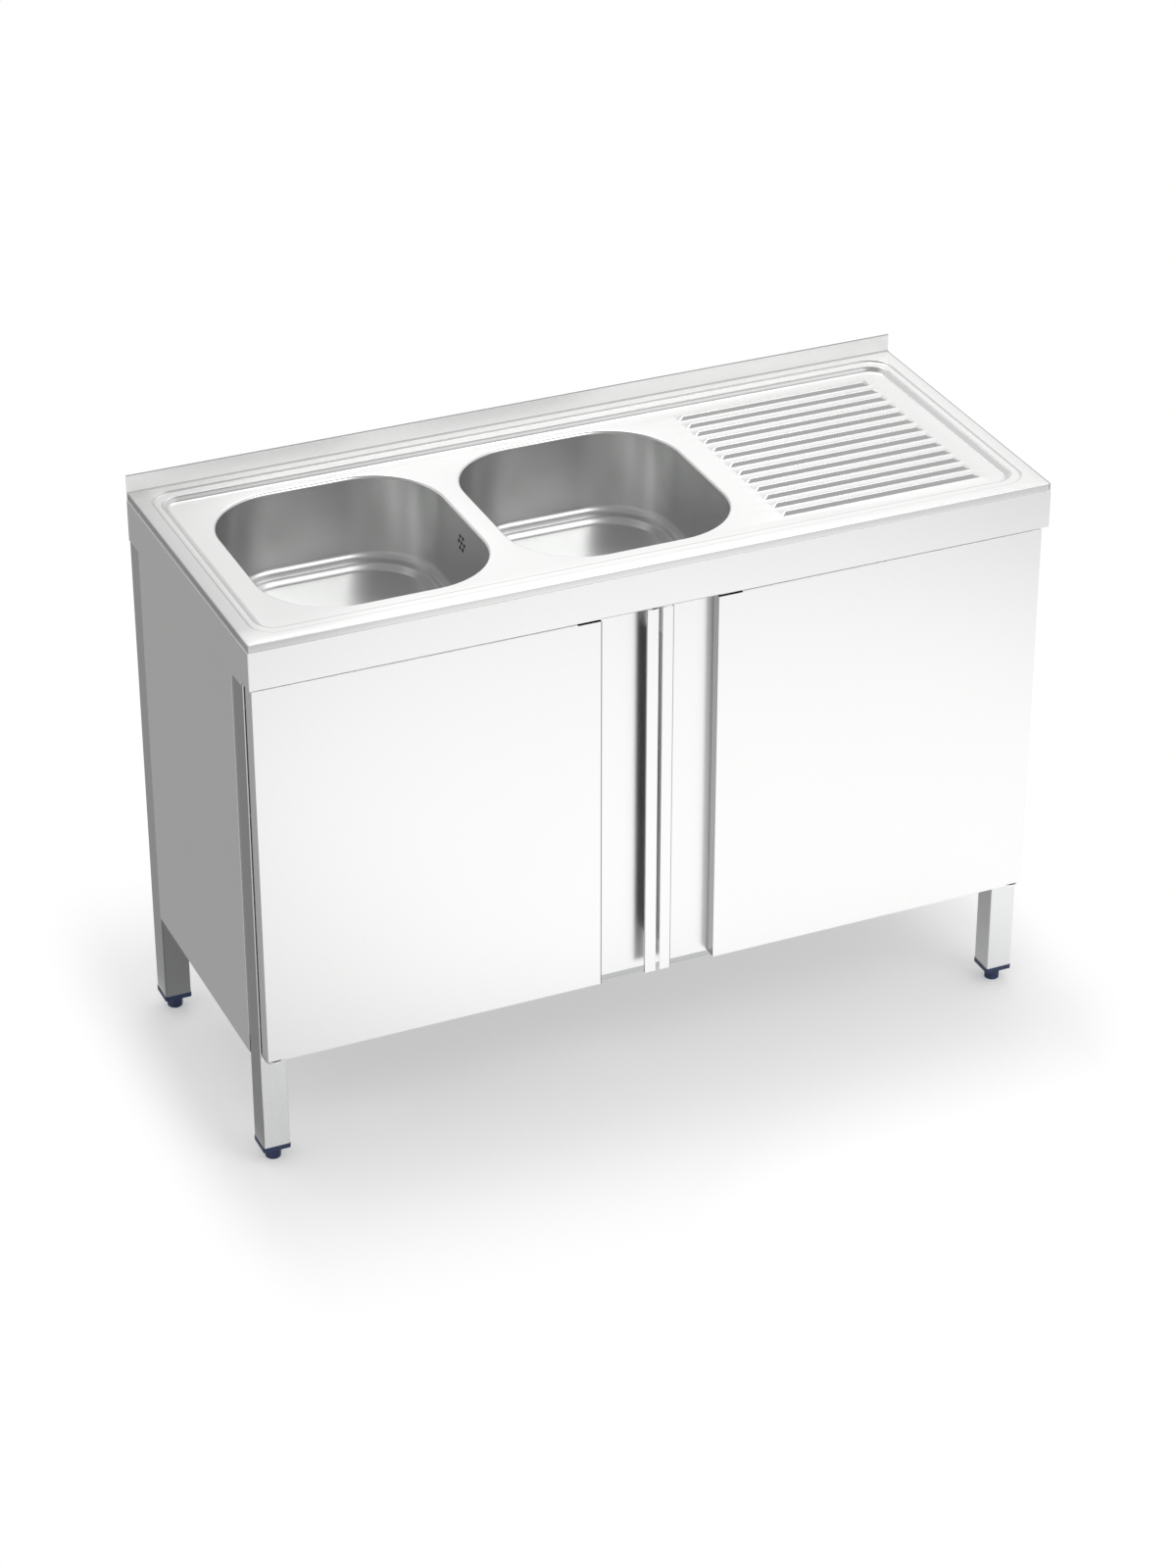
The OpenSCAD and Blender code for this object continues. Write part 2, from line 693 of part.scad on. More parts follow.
// Plastic plug in each leg tube, with a flange under the tube and a boss for the stem
module leg_inserts() color(navy)
  for (sx = [-1, 1], y = [leg_cyf, leg_cyr]) translate([sx * leg_cx, y, foot_h - insert_flange])
    difference() {
      out = leg_w / 2 - leg_t - plug_fit;
      union() {
        linear_extrude(insert_flange) rounded(leg_w / 2 + insert_over, leg_w / 2 + insert_over, leg_r);
        linear_extrude(plug_h) difference() {
          rounded(out, out, leg_r - leg_t);
          square(2 * (out - plug_wall), center = true);
        }
        for (a = [0, 90]) rotate(a)
          translate([plug_wall - out, -plug_wall / 2, 0]) cube([2 * (out - plug_wall), plug_wall, plug_h]);
        cylinder(r = stem_r + boss_wall, h = plug_h);
      }
      translate([0, 0, -1]) cylinder(r = stem_r + stem_fit, h = plug_h + 2);
    }

// Hexagonal foot with its threaded stem, tapered towards the floor
foot_taper = 1;
foot_chamfer = 1;

module foot() {
  h = foot_h - insert_flange;
  r = foot_w / 2;
  intersection() {
    cylinder(r = r, h = h, $fn = 6);
    rotate_extrude() polygon([
      [0, 0], [r - foot_taper - foot_chamfer, 0], [r - foot_taper, foot_chamfer],
      [r + foot_taper, h], [0, h]]);
  }
  translate([0, 0, h]) cylinder(r = stem_r, h = stem_l);
}

module foot_front_left() color(navy) translate([-leg_cx, leg_cyf, 0]) foot();
module foot_front_right() color(navy) translate([leg_cx, leg_cyf, 0]) foot();
module foot_rear_left() color(navy) translate([-leg_cx, leg_cyr, 0]) foot();
module foot_rear_right() color(navy) translate([leg_cx, leg_cyr, 0]) foot();

// Doors, drawn for the left one: X from its outer edge, Y from its front, Z from its foot

recess_x = door_w - recess_w;
door_flange = 12;
grip_hem = 4;
rivet_in = door_flange / 2;
rivet_end = 40;
rivet_n = 4;
rivet_r = 1.6;
rivet_head_r = 3.2;
rivet_head_h = 0.8;
rivet_l = 4;
hole_clear = 0.1;

module door_outline() polygon([
  [0, 0], [recess_x, 0], [recess_x, recess_d], [door_w, recess_d],
  [door_w, door_t - panel_t], [0, door_t - panel_t]]);

module door_inside() polygon([
  [panel_t, panel_t], [recess_x - panel_t, panel_t], [recess_x - panel_t, recess_d + panel_t],
  [door_w - panel_t, recess_d + panel_t], [door_w - panel_t, door_t], [panel_t, door_t]]);

module at_rivets() {
  for (i = [0:rivet_n - 1], x = [rivet_in, door_w - rivet_in])
    translate([x, door_t, rivet_end + i * (door_hgt - 2 * rivet_end) / (rivet_n - 1)])
      rotate([90, 0, 0]) children();
}

module at_bushes() {
  translate([pivot_in, door_t - pivot_back, 0]) children();
  translate([pivot_in, door_t - pivot_back, door_hgt]) mirror([0, 0, 1]) children();
}

module rivet_holes() at_rivets() translate([0, 0, -1]) cylinder(r = rivet_r + hole_clear, h = rivet_l + 1);

// Folded front skin: flat front, stepped finger recess, fin and grip lip, with a slot over the
// pivot plate
slot_h = 2;
slot_d = 6;

module door_skin() difference() {
  union() {
    linear_extrude(door_hgt) difference() {
      door_outline();
      door_inside();
    }
    for (z = [0, door_hgt - panel_t]) translate([0, 0, z]) linear_extrude(panel_t) door_outline();
    for (x = [0, door_w - door_flange])
      translate([x, door_t - 2 * panel_t, 0]) cube([door_flange, panel_t, door_hgt]);
    translate([door_w - panel_t, 0, fin_cut_low])
      cube([panel_t, recess_d + panel_t, door_hgt - fin_cut_low - fin_cut_top]);
    translate([door_w - grip_w, 0, 0]) {
      cube([grip_w, panel_t, door_hgt]);
      cube([panel_t, grip_hem, door_hgt]);
    }
  }
  at_bushes() translate([0, 0, -1]) cylinder(r = bush_r + hole_clear, h = panel_t + 2);
  rivet_holes();
  translate([recess_x - relief_l, -1, door_hgt - relief_h]) cube([relief_l, relief_d + 1, relief_h + 1]);
  translate([-1, -1, -1]) cube([2 * pivot_in + 1, slot_d + 1, slot_h + 1]);
}

module door_back() difference() {
  translate([0, door_t - panel_t, 0]) cube([door_w, panel_t, door_hgt]);
  rivet_holes();
}

module door_bushes() at_bushes() difference() {
  union() {
    translate([0, 0, -bracket_gap]) cylinder(r = bush_flange_r, h = bracket_gap);
    cylinder(r = bush_r, h = bush_h);
  }
  translate([0, 0, -bracket_gap - 1]) cylinder(r = pivot_r + pivot_fit, h = bush_h + 2);
}

// Blind rivets that hold the back of a door to the turned edges of its skin
module door_rivets() at_rivets() rotate_extrude() polygon([
  [0, -rivet_head_h], [rivet_head_r - 0.8, -rivet_head_h], [rivet_head_r, 0],
  [rivet_r, 0], [rivet_r, rivet_l], [0, rivet_l]]);

// Plate behind each door's meeting edge for the magnets to hold
module strike_plate() translate([door_w - magnet_in - magnet_w, door_t, catch_z - door_z])
  cube([magnet_w, strike_t, magnet_h + 2 * magnet_up]);

module left_door() translate([left_x0, door_yf, door_z]) children();
module right_door() translate([right_x1, door_yf, door_z]) mirror([1, 0, 0]) children();

module door_skin_left() color(steel) left_door() door_skin();
module door_back_left() color(steel_dull) left_door() door_back();
module door_bushes_left() color(plastic) left_door() door_bushes();
module door_rivets_left() color(steel) left_door() door_rivets();
module strike_plate_left() color(steel) left_door() strike_plate();
module door_skin_right() color(steel) right_door() door_skin();
module door_back_right() color(steel_dull) right_door() door_back();
module door_bushes_right() color(plastic) right_door() door_bushes();
module door_rivets_right() color(steel) right_door() door_rivets();
module strike_plate_right() color(steel) right_door() strike_plate();

// Pivots

bracket_hw = pivot_in;
tongue_drop = 16;
tongue_r = 5;
pin_in = bush_h - 1;

module at_pivots() for (x = [left_x0 + pivot_in, right_x1 - pivot_in]) translate([x, 0, 0]) children();

module pivot_brackets() color(steel) at_pivots() {
  z1 = door_z - bracket_gap;
  tab_w = 2 * bracket_hw;
  // lower bracket: a plate with a round end under the door and a rounded tongue on the leg
  translate([0, pivot_y, z1 - bracket_t]) cylinder(r = bracket_hw, h = bracket_t);
  translate([-bracket_hw, pivot_y, z1 - bracket_t]) cube([tab_w, leg_front_y - pivot_y, bracket_t]);
  translate([0, leg_front_y, z1]) rotate([90, 0, 0]) linear_extrude(bracket_t) {
    translate([-bracket_hw, -tongue_drop / 2]) square([tab_w, tongue_drop / 2]);
    translate([tongue_r - bracket_hw, -tongue_drop]) square([tab_w - 2 * tongue_r, tongue_drop]);
    for (s = [-1, 1]) translate([s * (bracket_hw - tongue_r), -tongue_drop / 2]) circle(tongue_r);
  }
  // upper plate on the apron's lower flange
  translate([0, pivot_y, apron_z + panel_t]) cylinder(r = bracket_hw - panel_t, h = bracket_t);
}

module pivot_pins() color(steel_dull) at_pivots() {
  translate([0, pivot_y, door_z - bracket_gap]) cylinder(r = pivot_r, h = bracket_gap + pin_in);
  translate([0, pivot_y, door_top - pin_in])
    cylinder(r = pivot_r, h = apron_z + panel_t - door_top + pin_in);
}

// Wastes

gasket_t = 3;
nut_h = 8;
nut_wall = 8;
nut_lug = 4;
cup_wall = 1.5;
cup_base = 2;
tail_wall = 2.4;
thread_fit = 0.4;
flange_edge = 0.8;
flange_t = 1.8;
flange_slope = 4;
spigot_wall = 1.5;
spigot_r = pipe_r - spigot_wall;
spigot_l = 15;
cup_floor = seat_z - waste_cup_h + cup_base;
nut_z = seat_z - bowl_t - gasket_t - nut_h;
spigot_z = seat_z - waste_cup_h / 2 - 6;

module waste_body() rotate_extrude() polygon([
  [waste_flange_r, seat_z], [waste_flange_r, seat_z + flange_edge],
  [waste_flange_r - flange_slope, seat_z + flange_t],
  [waste_cup_r - cup_wall, seat_z + flange_t], [waste_cup_r - cup_wall, cup_floor],
  [tail_r - tail_wall, cup_floor], [tail_r - tail_wall, cup_floor - cup_base - tail_l],
  [tail_r, cup_floor - cup_base - tail_l], [tail_r, cup_floor - cup_base],
  [waste_cup_r, cup_floor - cup_base], [waste_cup_r, seat_z]]);

// Only the left waste has a spigot, for the overflow pipe
module waste_left() color(plastic) at_left_bowl() {
  difference() {
    waste_body();
    translate([0, 0, spigot_z]) rotate([0, 90, 0]) cylinder(r = spigot_r - spigot_wall, h = waste_cup_r + 5);
  }
  translate([waste_cup_r - 1, 0, spigot_z]) rotate([0, 90, 0])
    ring(spigot_r - spigot_wall, spigot_r, spigot_l + 1);
}

module waste_right() color(plastic) at_right_bowl() waste_body();

module ring(r_in, r_out, h) difference() {
  cylinder(r = r_out, h = h);
  translate([0, 0, -1]) cylinder(r = r_in, h = h + 2);
}

module waste_gaskets() color(black) at_bowls()
  translate([0, 0, seat_z - bowl_t - gasket_t]) ring(waste_cup_r + thread_fit, seat_r - 2, gasket_t);

// Ring nuts with gripping lugs
module waste_nuts() color(plastic) at_bowls() translate([0, 0, nut_z]) {
  ring(waste_cup_r + thread_fit, waste_cup_r + nut_wall, nut_h);
  for (k = [0:5]) rotate(60 * k + 30)
    translate([waste_cup_r + nut_wall - 1, -nut_lug, 0]) cube([nut_lug + 1, 2 * nut_lug, nut_h]);
}

// Lift-out strainer basket: stopper foot, perforated dish, rim and knob, heights from the cup's floor
basket_r = waste_cup_r - cup_wall - 1;
basket_t = 1.2;
dish_z = 8;
rim_z = waste_cup_h - cup_base - 8;
knob_r = 9;
knob_z = rim_z + 8;
stalk_r = 5;
basket_holes = [[6, 14], [12, 26]];
basket_hole_r = 2.5;

module basket() color(steel) translate([0, 0, cup_floor]) difference() {
  rotate_extrude() polygon([
    [0, 0], [tail_r + 2, 0], [tail_r + 2, 3], [stalk_r, 4], [stalk_r, dish_z],
    [basket_r - 3, dish_z], [basket_r - 2, dish_z + 1], [basket_r - 2, rim_z - basket_t],
    [basket_r, rim_z - basket_t], [basket_r, rim_z], [basket_r - 2 - basket_t, rim_z],
    [basket_r - 2 - basket_t, dish_z + basket_t], [stalk_r - 1, dish_z + basket_t],
    [stalk_r - 1, knob_z], [knob_r, knob_z + 1], [knob_r, knob_z + 5], [knob_r - 2, knob_z + 7],
    [0, knob_z + 7]]);
  for (h = basket_holes, k = [0:h[0] - 1])
    rotate(360 * k / h[0]) translate([h[1], 0, dish_z - 1]) cylinder(r = basket_hole_r, h = basket_t + 2);
}

module basket_left() at_left_bowl() basket();
module basket_right() at_right_bowl() basket();

// Overflow: one housing between the bowls, with a wedge gasket on each side, and a pipe to the left waste
housing_hw = 20;
housing_hh = 22;
housing_wall = 4;
housing_x = dry_x(overflow_z + housing_hh) + 2;
housing_d = bowl2_x - bowl1_x - 2 * housing_x;
housing_z0 = overflow_z - housing_hh;
outlet_l = 14;
pipe_x = housing_x + housing_d / 2;
pipe_bore = spigot_r + 0.3;
elbow_r = 22;

module overflow_gasket() difference() {
  lean_x = housing_hh * tan(lean);
  translate([0, housing_hw, overflow_z]) rotate([90, 0, 0]) linear_extrude(2 * housing_hw) polygon([
    [dry_x(overflow_z) - lean_x, -housing_hh], [housing_x, -housing_hh],
    [housing_x, housing_hh], [dry_x(overflow_z) + lean_x, housing_hh]]);
  translate([0, 0, overflow_z]) rotate([0, 90, 0]) cylinder(r = housing_hw - housing_wall, h = 2 * bhx);
}

module overflow_gaskets() color(black) {
  at_left_bowl() overflow_gasket();
  at_right_bowl() overflow_gasket();
}

module overflow_housing() color(plastic) at_left_bowl() difference() {
  union() {
    translate([housing_x, -housing_hw, housing_z0]) cube([housing_d, 2 * housing_hw, 2 * housing_hh]);
    translate([pipe_x, 0, housing_z0 - outlet_l]) cylinder(r = spigot_r, h = outlet_l + 2);
  }
  translate([housing_x - 1, 0, overflow_z]) rotate([0, 90, 0])
    cylinder(r = housing_hw - housing_wall, h = housing_d + 2);
  translate([pipe_x, 0, housing_z0 - outlet_l - 1])
    cylinder(r = spigot_r - spigot_wall, h = outlet_l + housing_wall + 5);
}

module overflow_pipe() color(plastic) at_left_bowl() {
  z0 = spigot_z + elbow_r;
  x0 = waste_cup_r + 3;
  x1 = pipe_x - elbow_r;
  translate([pipe_x, 0, z0]) ring(pipe_bore, pipe_r, housing_z0 - 1 - z0);
  translate([x1, 0, z0]) rotate([-90, 0, 0]) rotate_extrude(angle = 90) translate([elbow_r, 0]) difference() {
    circle(pipe_r);
    circle(pipe_bore);
  }
  translate([x0, 0, spigot_z]) rotate([0, 90, 0]) ring(pipe_bore, pipe_r, x1 - x0);
}

worktop();
bowl_left();
bowl_right();
drainer_stiffener();
sound_pads();
front_apron();
side_panel_left();
side_panel_right();
back_panel();
bottom_shelf();
leg_front_left();
leg_front_right();
leg_rear_left();
leg_rear_right();
top_rails();
lower_rails();
catch_bracket();
leg_inserts();
foot_front_left();
foot_front_right();
foot_rear_left();
foot_rear_right();
door_skin_left();
door_back_left();
door_bushes_left();
door_rivets_left();
strike_plate_left();
door_skin_right();
door_back_right();
door_bushes_right();
door_rivets_right();
strike_plate_right();
pivot_brackets();
pivot_pins();
magnet_catches();
waste_left();
waste_right();
waste_gaskets();
waste_nuts();
basket_left();
basket_right();
overflow_housing();
overflow_gaskets();
overflow_pipe();
worktop_screws();
side_panel_screws();
back_panel_screws();
shelf_screws();
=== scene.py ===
# %% [markdown]
# # A stainless steel sink unit
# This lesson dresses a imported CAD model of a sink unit: a pressed worktop with two bowls and a ribbed
# drainer, two doors on pivots, a tube frame and four screw feet. The CAD parts stay where they are.
# Each cell either gives a part a finish or builds a smoother sheet over a CAD one.

# %% Loading the frame
import json
import math

import bmesh
import bpy
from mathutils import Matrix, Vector
from mathutils.geometry import delaunay_2d_cdt


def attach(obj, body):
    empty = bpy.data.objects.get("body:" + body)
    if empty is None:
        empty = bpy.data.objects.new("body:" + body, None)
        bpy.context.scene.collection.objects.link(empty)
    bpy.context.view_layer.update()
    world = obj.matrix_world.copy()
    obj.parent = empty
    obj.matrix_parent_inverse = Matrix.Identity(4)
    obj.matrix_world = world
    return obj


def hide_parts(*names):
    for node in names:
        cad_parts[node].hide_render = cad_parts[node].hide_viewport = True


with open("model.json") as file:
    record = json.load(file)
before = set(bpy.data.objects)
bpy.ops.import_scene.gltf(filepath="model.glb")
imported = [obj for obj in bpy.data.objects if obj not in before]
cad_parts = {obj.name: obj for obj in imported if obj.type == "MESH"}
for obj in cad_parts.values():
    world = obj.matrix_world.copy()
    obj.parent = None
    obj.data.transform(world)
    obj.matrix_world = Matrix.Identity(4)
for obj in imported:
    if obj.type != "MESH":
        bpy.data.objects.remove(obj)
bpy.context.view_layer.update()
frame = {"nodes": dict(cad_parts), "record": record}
nodes = frame["nodes"]
scene = bpy.context.scene

# %% [markdown]
# ## The camera
# The photograph was taken from the front left, about six metres away and thirty degrees above the
# horizon, with a long lens. The place and focal length come from fitting the worktop's corners, the
# legs and the doors, so straight lines in the render lie on those in the picture.

# %% Placing the camera
CAMERA_PLACE = (-2.1166, -4.7752, 3.4012)
AZIMUTH, ELEVATION = -23.88, 30.146
SENSOR_WIDTH, FOCAL_LENGTH = 36.0, 94.68


def look(azimuth, elevation):
    """Unit vector from the object back to a camera at these angles, in degrees."""
    a, e = math.radians(azimuth), math.radians(elevation)
    return Vector((math.sin(a) * math.cos(e), -math.cos(a) * math.cos(e), math.sin(e)))


camera_data = bpy.data.cameras.new("photo_camera")
camera_data.sensor_width, camera_data.lens = SENSOR_WIDTH, FOCAL_LENGTH
camera_data.clip_start, camera_data.clip_end = 0.1, 60
camera = bpy.data.objects.new("photo_camera", camera_data)
scene.collection.objects.link(camera)
camera.location = CAMERA_PLACE
camera.rotation_euler = (-look(AZIMUTH, ELEVATION)).to_track_quat("-Z", "Y").to_euler()
scene.camera = camera
print("camera lens", camera_data.lens, "mm at", tuple(camera.location))

# %% [markdown]
# ## Contours of pressed sheet
# A sink is drawn from flat sheet over rounded dies, so each crease is a rounded rectangle that runs
# all the way round. We describe one such contour by its half sizes and corner radius, and give every
# contour the same number of points. A bevelled box would have round corners too, but here each
# crease keeps its own true radius, from the rim down to the floor of a bowl.

# %% Rounded contours
CORNER_STEPS = 14


def contour(a, b, r, z, cx=0.0):
    """Points of a rounded rectangle of half sizes a and b, in millimetres, counterclockwise."""
    r = max(r, 0.01)
    points = []
    for k, (sx, sy) in enumerate(((1, 1), (-1, 1), (-1, -1), (1, -1))):
        for i in range(CORNER_STEPS + 1):
            t = math.radians(90 * (k + i / CORNER_STEPS))
            points.append((cx + sx * (a - r) + r * math.cos(t), sy * (b - r) + r * math.sin(t), z))
    return points


print("a contour has", len(contour(600, 250, 36, 0)), "points")

# %% [markdown]
# ## From points to a mesh
# A loft joins neighbouring contours with quads. The helper that makes the object cleans it as well:
# it merges doubled points, drops faces without area and turns all faces the same way. It can also
# store a number on each point, and a material can read that number later to draw a line there.

# %% Lofts and mesh objects
MILLIMETRE = 0.001


def loft(rings, start=0):
    """Faces between closed rings with equal numbers of points; start is the first point's index."""
    n = len(rings[0])
    return [(start + j * n + i, start + j * n + (i + 1) % n,
             start + (j + 1) * n + (i + 1) % n, start + (j + 1) * n + i)
            for j in range(len(rings) - 1) for i in range(n)]


def mesh_object(name, vertices, faces, marks=()):
    """A mesh object from points in millimetres, with doubled points merged and faces turned one way.
    Marks are (index, value) pairs for the points that lie on a crease line."""
    mesh = bpy.data.meshes.new(name)
    mesh.from_pydata([[v * MILLIMETRE for v in point] for point in vertices], [], faces)
    work = bmesh.new()
    work.from_mesh(mesh)
    if marks:
        work.verts.ensure_lookup_table()
        line = work.verts.layers.float.new("crease_line")
        for index, value in marks:
            work.verts[index][line] = value
    bmesh.ops.remove_doubles(work, verts=work.verts, dist=2e-6)
    bmesh.ops.dissolve_degenerate(work, edges=work.edges, dist=1e-6)
    bmesh.ops.recalc_face_normals(work, faces=work.faces)
    work.to_mesh(mesh)
    work.free()
    obj = bpy.data.objects.new(name, mesh)
    scene.collection.objects.link(obj)
    return obj


print("two contours make", len(loft([contour(2, 2, 1, 0), contour(1, 1, 1, 0)])), "quads")

# %% [markdown]
# ## Soft shading
# A drawn sheet is smooth, and its reflections run without a break over each shoulder. Smooth shading
# gives that with few faces, but a true fold has to stay sharp, so edges beyond an angle keep it.

# %% Soft shading and soft curves
PRESSED_ANGLE, FOLDED_ANGLE = 50, 35


def soften(obj, angle):
    """Smooth shading, with edges sharper than the angle kept."""
    obj.data.shade_smooth()
    obj.data.set_sharp_from_angle(angle=math.radians(angle))
    return obj


def ease(t):
    """A curve from 0 to 1 that starts and ends level."""
    return t * t * (3 - 2 * t)


print("the curve passes", [round(ease(i / 4), 2) for i in range(5)])

# %% [markdown]
# ## The worktop
# The real worktop is one sheet. From its edge inwards it has a rolled edge, a flat rim, a shallow
# step, a ledge, a deeper step and the deck. We loft it as a stack of contours, and a smooth curve
# between two levels gives each step the soft shoulders that a die leaves. Sculpting would not give
# lines as straight as these, and a bevel would not give each step its own width.

# %% Worktop sizes in millimetres
HALF_X, HALF_Y, RIM_Z = 600.0, 250.0, 850.0
EDGE_Z, LEDGE_Z, DECK_Z = 838.0, 848.0, 842.0
EDGE_R, UNDER_R, FLANGE, FLANGE_R, TURN_R = 1.5, 1.0, 12.0, 0.5, 2.0
RIM_END, LEDGE_START = (579.9, 229.4, 36.0), (576.6, 226.1, 33.5)
LEDGE_END, DECK_START = (568.8, 213.8, 30.6), (559.2, 204.2, 21.4)
print("worktop", 2 * HALF_X, "by", 2 * HALF_Y, "mm, deck", RIM_Z - DECK_Z, "mm below the rim")

# %% [markdown]
# ## The rolled edge
# All round, the sheet turns down through a small radius and turns in again underneath, so that
# nobody meets a cut edge. A bevel on a thick plate would show a solid slab from below, so the
# contours start at the hidden flange and come round the edge to the top.

# %% Contours round the edge
GUARD = 0.9


def edge_rings():
    """Contours from the turned-in flange under the rim, round the edge and up to the rim."""
    rings = [contour(HALF_X - FLANGE, HALF_Y - FLANGE, FLANGE_R, EDGE_Z),
             contour(HALF_X - UNDER_R, HALF_Y - UNDER_R, TURN_R, EDGE_Z)]
    for i in range(4):
        t = math.radians(30 * i)
        out = UNDER_R * math.sin(t)
        rings.append(contour(HALF_X - UNDER_R + out, HALF_Y - UNDER_R + out, EDGE_R,
                             EDGE_Z + UNDER_R - UNDER_R * math.cos(t)))
    rings.append(contour(HALF_X, HALF_Y, EDGE_R, EDGE_Z + UNDER_R + GUARD))
    for i in range(7):
        t = math.radians(15 * i)
        inset = EDGE_R * (1 - math.cos(t))
        rings.append(contour(HALF_X - inset, HALF_Y - inset, EDGE_R,
                             RIM_Z - EDGE_R + EDGE_R * math.sin(t)))
    return rings


print("edge contours:", len(edge_rings()))

# %% [markdown]
# ## The steps and their hairlines
# A pressed sheet shows a hairline of shade along each crease. A groove finer than a pixel would
# flicker, so we store on the points of each crease how strongly its line shows, and the steel
# darkens there. Such a value fades out up to the next contour, and a plain guard contour close
# beside the crease keeps its line thin.

# %% Contours from the rim to the deck
EDGE_LINE, EDGE_LINED = 0.3, (2, 3, 4, 5)
# upper contour and height, lower contour and height, contours between, strength of the hairline
STEPS = ((RIM_END, RIM_Z, LEDGE_START, LEDGE_Z, 10, 0.5),
         (LEDGE_END, LEDGE_Z, DECK_START, DECK_Z, 14, 0.9))


def resized(shape, by):
    """The half sizes and corner radius of a contour, all changed by the same amount."""
    return [value + by for value in shape]


def rim_to_deck():
    """All contours of the sheet, and how strongly the hairline shows on some, by their number."""
    rings = edge_rings()
    lines = {ring: EDGE_LINE for ring in EDGE_LINED}
    for high, high_z, low, low_z, count, strength in STEPS:
        rings.append(contour(*resized(high, GUARD), high_z))
        top, foot = len(rings), len(rings) + count
        lines.update({top: 0.8 * strength, top + 1: strength, foot: 0.7 * strength})
        for i in range(count + 1):
            t = i / count
            a, b, r = (start + (end - start) * t for start, end in zip(high, low))
            rings.append(contour(a, b, r, high_z + (low_z - high_z) * ease(t)))
        rings.append(contour(*resized(low, -GUARD), low_z))
    return rings, lines


rings, creases = rim_to_deck()
vertices = [p for ring in rings for p in ring]
faces = loft(rings)
per_ring = len(rings[0])
marks = [(ring * per_ring + i, value) for ring, value in creases.items() for i in range(per_ring)]
loops = [rings[-1]]
print("sheet contours:", len(rings), "with a hairline on", len(creases))

# %% [markdown]
# ## The mouths of the bowls
# Round each bowl the deck rolls down through a lip, and the bowl is welded under it. The lip is a
# quarter circle of contours. Where its front turns out of sight the photograph shows a fine dark
# line, so the points there get a hairline too, strongest at the front and none at the back.

# %% The rolled lips
MOUTH_X, MOUTH_Y, MOUTH_R, LIP_R = 165.0, 182.0, 109.0, 4.0
BOWL_X = (-359.0, 6.0)
LIP_STEPS, LINED = 8, (2, 3)


def front_share(y):
    """1 along the front of a mouth, and 0 behind its front quarter."""
    return min(1.0, max(0.0, -0.5 - y / MOUTH_Y) * 4)


for bowl_x in BOWL_X:
    lip = []
    for i in range(LIP_STEPS + 1):
        t = math.radians(90 * i / LIP_STEPS)
        grow = LIP_R * (1 - math.sin(t))
        lip.append(contour(MOUTH_X + grow, MOUTH_Y + grow, MOUTH_R + grow,
                           DECK_Z - LIP_R + LIP_R * math.cos(t), cx=bowl_x))
    # the hairline on the front of the lip is painted shade
    marks += [(len(vertices) + k * len(lip[k]) + i, front_share(y))
              for k in LINED for i, (_, y, _) in enumerate(lip[k])]
    faces += loft(lip, len(vertices))
    vertices += [p for ring in lip for p in ring]
    loops.append(lip[0])
print("lips at x", BOWL_X, "with", LIP_STEPS + 1, "contours each")

# %% [markdown]
# ## The ribs of the drainer
# Thirteen ribs are pressed up in the drainer, each with a narrow crest, two flat slopes and hipped
# ends. One formula gives the height at any place: the nearer of the rib's side and its end decides,
# and the foot and the crest are rounded. A row of bevelled wedges would need joining to the deck,
# while a height over one grid stays a single sheet, as on the real drainer.

# %% The height of a rib
RIB_X0, RIB_X1, RIB_PITCH, RIB_COUNT = 213.0, 527.5, 28.3, 13
RIB_HALF, RIB_TOP, RIB_H, RIB_END = 9.5, 1.25, 3.5, 10.0
RIB_SOFT = 0.08


def rib_height(x, y):
    """Height of the drainer above the deck."""
    row = round(y / RIB_PITCH)
    across = abs(y - row * RIB_PITCH)
    along = min(x - RIB_X0, RIB_X1 - x)
    slope = min((RIB_HALF - across) / (RIB_HALF - RIB_TOP), along / RIB_END)
    if slope <= 0:
        return 0.0
    low = slope * slope / (2 * RIB_SOFT) if slope < RIB_SOFT else slope - RIB_SOFT / 2
    top = 1 - RIB_SOFT / 2
    if low > top - RIB_SOFT:
        over = min(low - (top - RIB_SOFT), 2 * RIB_SOFT)
        low = top - RIB_SOFT + over - over * over / (4 * RIB_SOFT)
    return RIB_H * low / top


print("rib heights", [round(rib_height(370, y), 2) for y in (0, 2, 4, 6, 8, 10)])

# %% The grid of the ribbed field
ACROSS_RIB = (0.8, 1.5, 2.2, 3.6, 5.6, 7.6, 8.4, 9.0, 9.5)
FROM_END = (0, 0.6, 1.3, 2.2, 3.5, 5.0, 6.5, 8.0, 9.0, 9.8, 10.6, 11.6, 14)


def drainer_grid():
    """Points and quads of the ribbed field, finer where the ribs bend, and the loop round it."""
    offsets = [-o for o in reversed(ACROSS_RIB)] + [0] + list(ACROSS_RIB)
    ys = [(k - (RIB_COUNT - 1) / 2) * RIB_PITCH + o for k in range(RIB_COUNT) for o in offsets]
    xs = [RIB_X0 + e for e in FROM_END] + [RIB_X1 - e for e in reversed(FROM_END)]
    points = [(x, y, DECK_Z + rib_height(x, y)) for y in ys for x in xs]
    n, rows = len(xs), len(ys)
    quads = [(j * n + i, j * n + i + 1, (j + 1) * n + i + 1, (j + 1) * n + i)
             for j in range(rows - 1) for i in range(n - 1)]
    border = list(range(n)) + [j * n + n - 1 for j in range(1, rows)]
    border += [(rows - 1) * n + i for i in range(n - 2, -1, -1)]
    border += [j * n for j in range(rows - 2, 0, -1)]
    return points, quads, border


grid, quads, border = drainer_grid()
faces += [tuple(len(vertices) + i for i in quad) for quad in quads]
vertices += grid
loops.append([grid[i] for i in border])
print("drainer grid:", len(grid), "points and", len(quads), "quads")

